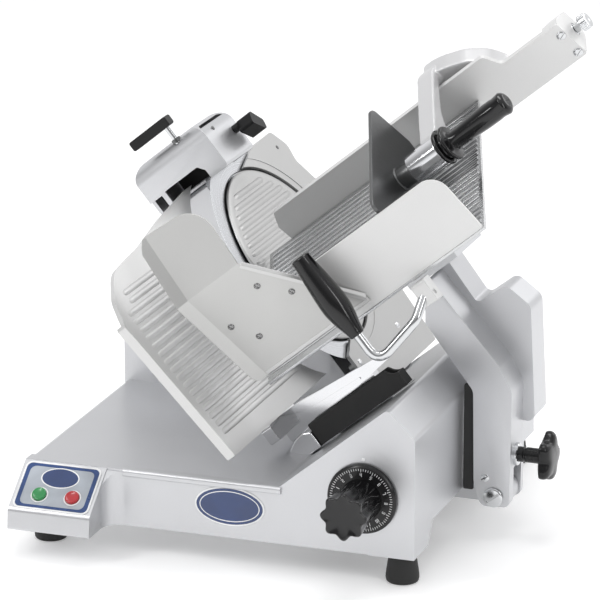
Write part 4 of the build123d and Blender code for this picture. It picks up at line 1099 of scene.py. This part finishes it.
# ---- chute -----------------------------------------------------------------------------------------
FLOOR_W, FLOOR_T, FLOOR_S0, FLOOR_S1 = 267.0, 4.0, -36.0, 333.0
WALL_LEAN = math.radians(13.3)
WALL_FOOT = (91.5, 311.0)
WALL_HEAD = (WALL_FOOT[0] - math.sin(WALL_LEAN), WALL_FOOT[1] + math.cos(WALL_LEAN))
FOLD = (31.0, 457.0)
GUARD_LOWER = sheet_plane((87, 316), FOLD)
GUARD_UPPER = sheet_plane(FOLD, (42, 557))
WALL_PLANE = sheet_plane(WALL_FOOT, WALL_HEAD)
FLOOR_RIBS, FLOOR_RIB_STEP, FLOOR_RIB_R = 25, 10, 2.6


def make_floor():
    """Chute floor: one plate, with low round ribs for the product to slide on."""
    plate = slab("chute_floor", rect(0, FLOOR_W, -FLOOR_T, 0), [0.8, 0.8, 0.8, 0.8], 3, CHUTE, FLOOR_S0,
                 FLOOR_S1)
    dress(soften(plate, 0.9, 3), "chute", BRUSHED_S, "chute_floor")
    ribs = []
    for k in range(FLOOR_RIBS):
        t = 14 + FLOOR_RIB_STEP * k
        ribs.append(prism("bead", [(t, -0.2)] + arc((t + FLOOR_RIB_R, -0.2), FLOOR_RIB_R, 180, 0, 8), CHUTE,
                          FLOOR_S0 + 8, FLOOR_S1 - 5))
    dress(soften(joined("floor_beads", ribs), 0), "chute", BRUSHED_S)


def make_front_wall():
    wall = slab("chute_front_wall", rect(100, 330, 0, 93), [0, 2, 25, 5], 10, WALL_PLANE, -4, 0)
    cut(wall, prism("under", rect(-20, 60, -60, -0.1), CHUTE, 90, 340))
    # The front wall takes the lighter copy of the plate colour as painted light.
    dress(soften(wall, 1.0, 4), "chute", WALL_METAL_LIGHTENED, "chute_front_wall")


def folded_sheet(name, panels, thickness):
    """Flat panels that share edges, given a thickness inwards."""
    def build(bm):
        for panel in panels:
            bm.faces.new([bm.verts.new(point) for point in panel])
    sheet = mesh_object(name, build)
    step = sheet.modifiers.new("thick", "SOLIDIFY")
    step.thickness = thickness / 1000
    step.offset = -1.0
    step.use_even_offset = True
    return bake(sheet)


def make_guard():
    """Thumb guard: two panels meeting in a fold, with a flange bent forwards along the left edge."""
    fold_d = 151.7
    bend, out, forward = -27.0, -44.0, 5.0
    right = rounded([(151, 5), (151, 11), (61, 149)], [0, 2, 0], 3)[1:-1]
    lower = [(bend, 5), (151, 5)] + right + [(60, fold_d), (bend, fold_d)]
    lower_panel = [GUARD_LOWER(x, y, 0) for x, y in lower]
    corner = rounded([(bend, 0), (60, 0), (60, 92), (bend, 98)], [0, 0, 40, 0], 16)
    upper_panel = [GUARD_UPPER(x, y, 0) for x, y in corner]
    upper_panel[0], upper_panel[1] = lower_panel[-1], lower_panel[-2]
    elbow = (GUARD_LOWER(out, fold_d, forward) + GUARD_UPPER(out, 0, forward)) / 2
    low_out = [GUARD_LOWER(x, y, forward * z) for x, y, z in ((out, 16, 1), (out + 2, 9, 0.9),
                                                              (out + 8, 5, 0.6))]
    low_flange = [elbow] + low_out + [lower_panel[0], lower_panel[-1]]
    high_out = [GUARD_UPPER(bend - 4, 97, 0.3 * forward), GUARD_UPPER(out + 6, 88, 0.7 * forward),
                GUARD_UPPER(out + 2, 80, 0.9 * forward)]
    high_flange = [lower_panel[-1], upper_panel[-1]] + high_out + [elbow]
    guard = folded_sheet("thumb_guard", [lower_panel, upper_panel, low_flange, high_flange], 2.5)
    # The guard takes the darker, shaded copy of the plate colour as painted shade; its edge strips keep the
    # plate colour, so they read lighter.
    dress(soften(guard, 0.8, 3, 12), "chute", GUARD_METAL_SHADED, "thumb_guard")
    run = (Vector((61, 149)) - Vector((151, 11))).normalized()
    outer = Vector((run.y, -run.x))
    rim = [((150, 12.5), outer), ((61.5, 148.5), outer)]
    dress(soften(bent_strip("guard_edge", rim), 0.6, 3), "chute", PLATE)
    hem = [((-26, 5.5), Vector((0, -1))), ((150, 5.5), Vector((0, -1)))]
    dress(soften(bent_strip("guard_hem", hem), 0.6, 3), "chute", PLATE)


def bent_strip(name, ends):
    """A narrow edge of the thumb guard, bent back about 35 degrees from the sheet."""
    section = ((-5.0, 0.5), (0.0, 0.5), (3.2, -3.0), (1.6, -5.0), (-1.2, -2.6), (-5.0, -2.6))
    return lofted(name, [[GUARD_LOWER(*(Vector(point) + outer * reach), height) for reach,
                          height in section] for point, outer in ends])


def make_guard_screws():
    heads = []
    for s, d in ((-12, 88), (6, 55), (56, 112), (84, 78)):
        x_dir = Vector(GUARD_LOWER(1, 0.3)) - Vector(GUARD_LOWER(0, 0))
        y_dir = Vector(GUARD_LOWER(-0.3, 1)) - Vector(GUARD_LOWER(0, 0))
        heads.append(pan_head("screw", plane_at(GUARD_LOWER(s, d, 0.0), x_dir, y_dir), 4.5, 2.0, 2))
    dress(soften(joined("guard_screws", heads), 0), "chute", SCREW_STEEL, "guard_screws")


def make_fence():
    """Back plate with the supports of the slide rod and a boxed end."""
    plane = sheet_plane(tu(FLOOR_W + 1, 0), tu(FLOOR_W + 1, 1))
    corners = [(3, -41), (484, -41), (484, 20), (392, 20), (381, 46), (14, 46), (3, 24)]
    fence = slab("chute_fence", corners, [3, 4, 4, 10, 8, 5, 5], 6, plane, -7, 0)
    end = [(FLOOR_W + 5, -40), (306, -40), (316, -32), (316, 2), (282, 19), (FLOOR_W + 5, 19.5)]
    add(fence, slab("end", end, [0, 4, 4, 6, 4, 0], 5, CHUTE, 460, 483.8))
    near = [(FLOOR_W + 5, -38), (316, -38), (316, -2), (FLOOR_W + 5, -2)]
    add(fence, slab("near", near, [0, 8, 8, 0], 5, CHUTE, 20, 34))
    drill(fence, ROD_R, 48, (ROD_T, ROD_U), CHUTE, 19, 485)
    # The fence takes the lighter copy of the plate colour as painted light.
    dress(soften(fence, 1.0, 3), "chute", WALL_METAL_LIGHTENED, "chute_fence")
    heads = []
    for s, u in ((477, 2), (476, -32)):
        face = plane_at(plane(s, u, 0), AXIS_S + AXIS_U * 0.35, AXIS_U - AXIS_S * 0.35)
        heads.append(pan_head("screw", face, 6.5, 2.2))
    dress(soften(joined("fence_screws", heads), 0), "chute", CHROME, "fence_screws")


ROD_R, KNURLS = 9.0, 24
ROD = plane_at(chute(ROD_T, ROD_U, 0), AXIS_T, AXIS_U)
PUSH = plane_at(chute(PUSH_T, PUSH_U, 0), AXIS_T, AXIS_U)


def make_rod_parts():
    """Slide rod, thumbscrew with a knurled rim, and the sliding hub."""
    turned("weight_rod", [(0, 20), (ROD_R - 1, 20), (ROD_R, 21), (ROD_R, 483), (ROD_R - 1, 484), (0, 484)],
           ROD, 64, "chute", CHROME, "weight_rod")
    profile = [(0, 484.5), (6, 484.5), (6, 492), (8, 493), (8, 493.6), (11, 494), (11, 503), (10.2, 504.6),
               (8, 505), (3.2, 504.8), (0, 504.2)]
    screw = lathe("fence_thumbscrew", profile, ROD, 72)
    for k in range(KNURLS):
        a = 2 * math.pi * k / KNURLS
        notch = ring(0.75, 10, (11.1 * math.cos(a), 11.1 * math.sin(a)))
        cut(screw, prism("notch", notch, ROD, 494.5, 506))
    dress(soften(screw, 0), "thumbscrew", CHROME, "fence_thumbscrew")
    hub = [(ROD_R + 0.05, 316), (15.5, 316), (17, 317.5), (17, 328), (16, 329.5), (16, 355), (17, 356.5),
           (17, 367.5), (15.5, 369), (ROD_R + 0.05, 369)]
    turned("weight_slide", hub, ROD, 80, "slide", POLISHED, "weight_slide")


GRIP_Y, GRIP_S, GRIP_B0, GRIP_B1 = 45.0, 127.0, 296.0, 418.0
HANDLE_R = 6.5
GRIP_STEPS = 12


def make_handle():
    """Bent rod and its mount, and the double-tapered grip."""
    path = [slant(84, 292, 224), slant(60, 268, 196), slant(GRIP_Y, 253, GRIP_S),
            slant(GRIP_Y, 322, GRIP_S)]
    rod = tube("handle_rod", path, HANDLE_R, [26, 18], 40, 12)
    dress(soften(rod, 0), "chute", CHROME, "handle_rod", slot="polished_aluminium")
    block = slab("handle_mount", rect(72, 93, 272, 305), [3, 2, 2, 5], 5, SLANT, 210, 232)
    drill(block, 3.4, 32, (80, 283), SLANT, 230, 234)
    dress(soften(block, 2.0, 4), "chute", PLATE, slot="polished_aluminium")
    place = plane_at(slant(GRIP_Y, 0, GRIP_S), (0, 1, 0), -AXIS_S)
    up = [(HANDLE_R + 0.05, GRIP_B0), (8.6, GRIP_B0), (9.8, GRIP_B0 + 0.8), (10.4, GRIP_B0 + 2.2)]
    for k in range(1, GRIP_STEPS):
        up.append((10.4 + 8.1 * math.sin(math.pi / 2 * k / GRIP_STEPS) ** 1.25, GRIP_B0 + 2.2
                   + 47 * k / GRIP_STEPS))
    up.append((18.5, GRIP_B0 + 50))
    for k in range(1, GRIP_STEPS):
        up.append((18.5 - 5.2 * (k / GRIP_STEPS) ** 1.35, GRIP_B0 + 50 + 60 * k / GRIP_STEPS))
    up += [(13.2, GRIP_B1 - 11)] + arc((9.2, GRIP_B1 - 4.2), 4.2, 20, 90, 8)
    up += [(5, GRIP_B1 - 0.3), (0, GRIP_B1 - 1)]
    turned("handle_grip", up, place, 96, "chute", BLACK_GLOSS, "handle_grip")


# ---- end weight ------------------------------------------------------------------------------------
WEIGHT_T0, WEIGHT_T1 = 33.0, 240.0
ARM_S0, ARM_S1, ARCH_S = 288.0, 314.0, 388.0
POCKET_S0, POCKET_S1 = 315.0, 370.0
STUD_ROWS, STUD_COLUMNS, STUD_T, STUD_U = 7, 13, 15, 12


def make_weight():
    corners = [(WEIGHT_T0, 6), (WEIGHT_T1 - 12, 6), (WEIGHT_T1, 27), (WEIGHT_T1, 101), (WEIGHT_T0, 101)]
    plate = slab("pusher_plate", corners, [8, 2, 2, 12, 12], 8, CHUTE, PUSH_S - 5, PUSH_S)
    dress(soften(plate, 1.4, 4), "weight", DARK_STEEL, "pusher_plate", slot="dark_steel")
    studs = []
    for row in range(STUD_ROWS):
        for k in range(STUD_COLUMNS if row else STUD_COLUMNS - 1):
            t, u = 46 + STUD_T * k, 16 + STUD_U * row
            studs.append(lathe("stud", [(0, PUSH_S - 8), (1.1, PUSH_S - 6.6), (2.2, PUSH_S - 4.9),
                                        (0, PUSH_S - 4.9)], plane_at(chute(t, u, 0), AXIS_T, AXIS_U), 10))
    dress(soften(joined("pusher_studs", studs), 0), "weight", DARK_STEEL, slot="dark_steel")
    stub = [(0, PUSH_S - 1), (17, PUSH_S - 1), (17, PUSH_S + 1.2), (15, PUSH_S + 2.6), (15, 256),
            (14, 257.5), (14, 262), (0, 262)]
    turned("pusher_stub", stub, PUSH, 80, "weight", DARK_STEEL, slot="dark_steel")
    collar = [(14, 261), (19.2, 261), (20, 262), (20, 306.6), (19.2, 307.6), (0, 307.6), (0, 261)]
    turned("weight_collar", collar, PUSH, 96, "weight", POLISHED)
    loop = [(136, 34), (165, 34), (205, 50), (262, 53), (278, 53), (285, 44), (285, -30), (316, -30),
            (316, 40), (304, 60), (286, 67), (205, 67), (150, 66), (130, 58)]
    arm = slab("weight_arm", loop, [8, 10, 60, 14, 5, 4, 4, 4, 20, 16, 24, 60, 10, 8], 8, CHUTE, ARM_S0,
               ARM_S1)
    arch = [(ARM_S0 + 2, -33.6), (ARCH_S, -33.6), (ARCH_S, 2), (378, 24), (354, 46), (320, 60),
            (ARM_S0 + 2, 62)]
    over = sheet_plane(tu(285, 0), tu(285, 1))
    add(arm, slab("arch", arch, [4, 8, 16, 30, 40, 60, 10], 6, over, -30.4, -0.6))
    add(arm, prism("sleeve", ring(17, 64, (ROD_T, ROD_U)), CHUTE, ARM_S0 - 2, ARCH_S + 2))
    cut(arm, prism("pocket", rect(280, 320, -45, -14), CHUTE, POCKET_S0, POCKET_S1))
    drill(arm, 19, 64, (ROD_T, ROD_U), CHUTE, POCKET_S0, POCKET_S1)
    drill(arm, 24, 64, (PUSH_T, PUSH_U), CHUTE, 308, ARM_S1 + 1)
    drill(arm, ROD_R + 0.6, 64, (ROD_T, ROD_U), CHUTE, ARM_S0 - 3, ARCH_S + 3)
    dress(cast(arm, 1.1, 22), "weight", ARM_METAL, "weight_arm")
    profile = [(0, 308), (20.5, 308)] + arc((21, 311), 3, -80, 80, 8)
    profile += [(17.6, 314.6), (17, 316), (17, 317), (17.8, 318.6)] + arc((21.2, 322), 3, -80, 80, 8)
    profile += [(15.5, 325.6), (13, 327.4), (12.2, 331), (12.4, 340), (13.4, 356), (14.5, 378), (14.6, 396)]
    profile += [(14.2, 404)] + arc((7, 409), 9, 18, 90, 10)[:-1] + [(4, 417.9), (0, 418)]
    turned("weight_handle", profile, PUSH, 96, "weight", BLACK_GLOSS, "weight_handle")


# ---- arm, lock and carriage ------------------------------------------------------------------------
ARM_Y = 200.0
ARM_SECTION = [(25, 44), (64, 46), (66, 203), (49, 235), (-52, 350), (-51, 283), (14, 199), (16, 77)]
BOX_SECTION = [(16, 152), (82, 148), (74, 304), (40, 329), (3, 300), (-44, 362), (-52, 350), (-50, 283),
               (14, 199)]
PIVOT_X, PIVOT_Z = 43.0, 58.0
LOCK_Y, LOCK_Z, LOCK_X, LOCK_R = 225.0, 112.0, 64.5, 10.0


def under_floor(y):
    """b of the floor's underside at a given Y."""
    return tu((y - CHUTE_Y - FLOOR_T * T_SIN) / T_COS, -FLOOR_T)[1]


def make_arm():
    """Cast arm: a soft-edged web, a box behind it and a head under the floor."""
    arm = slab("chute_arm", ARM_SECTION, [12, 8, 26, 14, 5, 5, 16, 12], 10, FRONT, -262, -ARM_Y)
    box = slab("box", BOX_SECTION, [4, 10, 16, 12, 8, 6, 5, 5, 10], 8, FRONT, -306, -252)
    head = [(ARM_Y, 296), (306, 296), (306, under_floor(306)), (ARM_Y, under_floor(ARM_Y))]
    add(arm, box, prism("head", head, SLANT, 152, 232))
    soften(arm, 3.6, 5)
    cut(arm, prism("fork", rect(-10, 90, 20, 96), FRONT, -251.6, -217.4))
    drill(arm, 9.05, 48, (PIVOT_X, PIVOT_Z), FRONT, -264, -ARM_Y + 2)
    drill(arm, LOCK_R + 0.05, 48, (LOCK_Y, LOCK_Z), SIDE, LOCK_X - 12, LOCK_X + 8)
    dress(arm, "chute", SATIN, "chute_arm")
    # A black rubber strip on the arm's inner face: painted shade for the dark gap between the base wall and
    # the arm.
    gap_shade_strip = slab("arm_gap_shade_strip", rect(0.8, 14.5, 64, 207), [2, 2, 3, 3], 3, FRONT, -ARM_Y - 7, -ARM_Y - 3)
    dress(soften(gap_shade_strip, 0.8, 2), "chute", RUBBER)
    screw = pan_head("arm_screw", plane_at(at(31, ARM_Y, 83), (1, 0, 0.6), (-0.6, 0, 1)), 5.6, 1.2)
    dress(soften(screw, 0), "chute", CHROME)


def make_pivot():
    place = plane_at(at(PIVOT_X, 0, PIVOT_Z), (1, 0, 0), (0, 0, 1))
    profile = [(0, -263), (8, -263), (9, -262), (9, -198.5), (12.6, -198.5), (13, -198), (13, -197),
               (12.2, -196.2), (10.5, -195.6), (0, -195.5)]
    pin = lathe("pivot_pin", profile, place, 72)
    cut(pin, prism("slot", [(-9, -5), (-7, -7), (9, 5), (7, 7)], place, -196.6, -190))
    dress(soften(pin, 0), "carriage", CHROME, "pivot_pin")


def make_lock():
    place = plane_at(at(0, LOCK_Y, LOCK_Z), (0, 1, 0), (0, 0, 1))
    layers = [(14, 0, 99.5), (17, 0.2, 100), (27, 4, 101.2), (33, 8, 103), (34, 9, 105.5), (34, 9, 109),
              (33, 8.6, 112), (30.5, 7.6, 114.6), (26, 5.6, 116.6), (18, 2.4, 117.8), (8, 0.3, 118),
              (2, 0, 118)]
    dress(soften(knob("tilt_lock", place, 5, layers), 0), "lock", BLACK_SATIN, "tilt_lock")
    turned("lock_stem", [(0, 53.5), (LOCK_R - 0.6, 53.5), (LOCK_R, 54.2), (LOCK_R, 76), (LOCK_R - 1, 77),
                         (LOCK_R - 1, 79), (LOCK_R, 80), (LOCK_R, 100.5), (0, 100.5)], place, 64, "lock",
           BLACK_SATIN)
    turned("lock_bush", [(LOCK_R + 0.2, 62), (15, 62), (15, 69), (14, 70), (LOCK_R + 0.2, 70)], place, 64,
           "chute", CHROME)


def make_carriage():
    body = slab("carriage_block", rect(-84, -36, 68, 103), 4, 4, FRONT, -263, -222)
    add(body, slab("wing", rect(-142, -80, 74, 98), 4, 4, FRONT, -259, -226))
    add(body, slab("reach", rect(-84, PIVOT_X, 44, 61.5), [4, 0, 0, 2], 4, FRONT, -250, -222))
    add(body, prism("web", rect(-84, -36, 60, 70), FRONT, -250, -222))
    add(body, prism("lug", ring(19, 64, (PIVOT_X, PIVOT_Z)), FRONT, -251, -218))
    for x, z, r in ((-60, 86, 11.05), (-130, 86, 7.05), (PIVOT_X, PIVOT_Z, 9)):
        drill(body, r, 48, (x, z), FRONT, -270, -210)
    dress(soften(body, 1.5, 3), "carriage", SATIN_SHADED, "carriage_block")


PLAIN_NODES = ((CHROME, ("slide_rail", "guide_rail", "gauge_rod", "knife_hub", "knife_screws",
                         "motor_shaft", "index_shaft")), (SATIN_SHADED, ("rail_brackets", "gauge_carrier")),
               (BLACK, ("switch_block",)), (DARK_STEEL, ("knife_bearings",)), (MOTOR, ("motor_body",)),)


def finish_plain_nodes():
    """Materials of the inner pieces that keep their CAD shape."""
    for (material, _), nodes in PLAIN_NODES:
        for node in nodes:
            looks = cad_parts[node].data.materials
            looks.clear()
            looks.append(material)


make_camera()
make_stage()
for make in (make_base, make_bottom_cover, make_feet, make_panel, make_buttons, make_badge, make_inlet,
             make_dial, make_knob, make_gauge, make_bracket, make_boot, make_boot_seat, make_knife,
             make_cover, make_guard_plate, make_guard_plate_screws, make_housing, make_sharpener, make_tee,
             make_stones, make_lever, make_floor, make_front_wall, make_guard, make_guard_screws,
             make_fence, make_rod_parts, make_handle, make_weight, make_arm, make_pivot, make_lock,
             make_carriage, finish_plain_nodes):
    make()
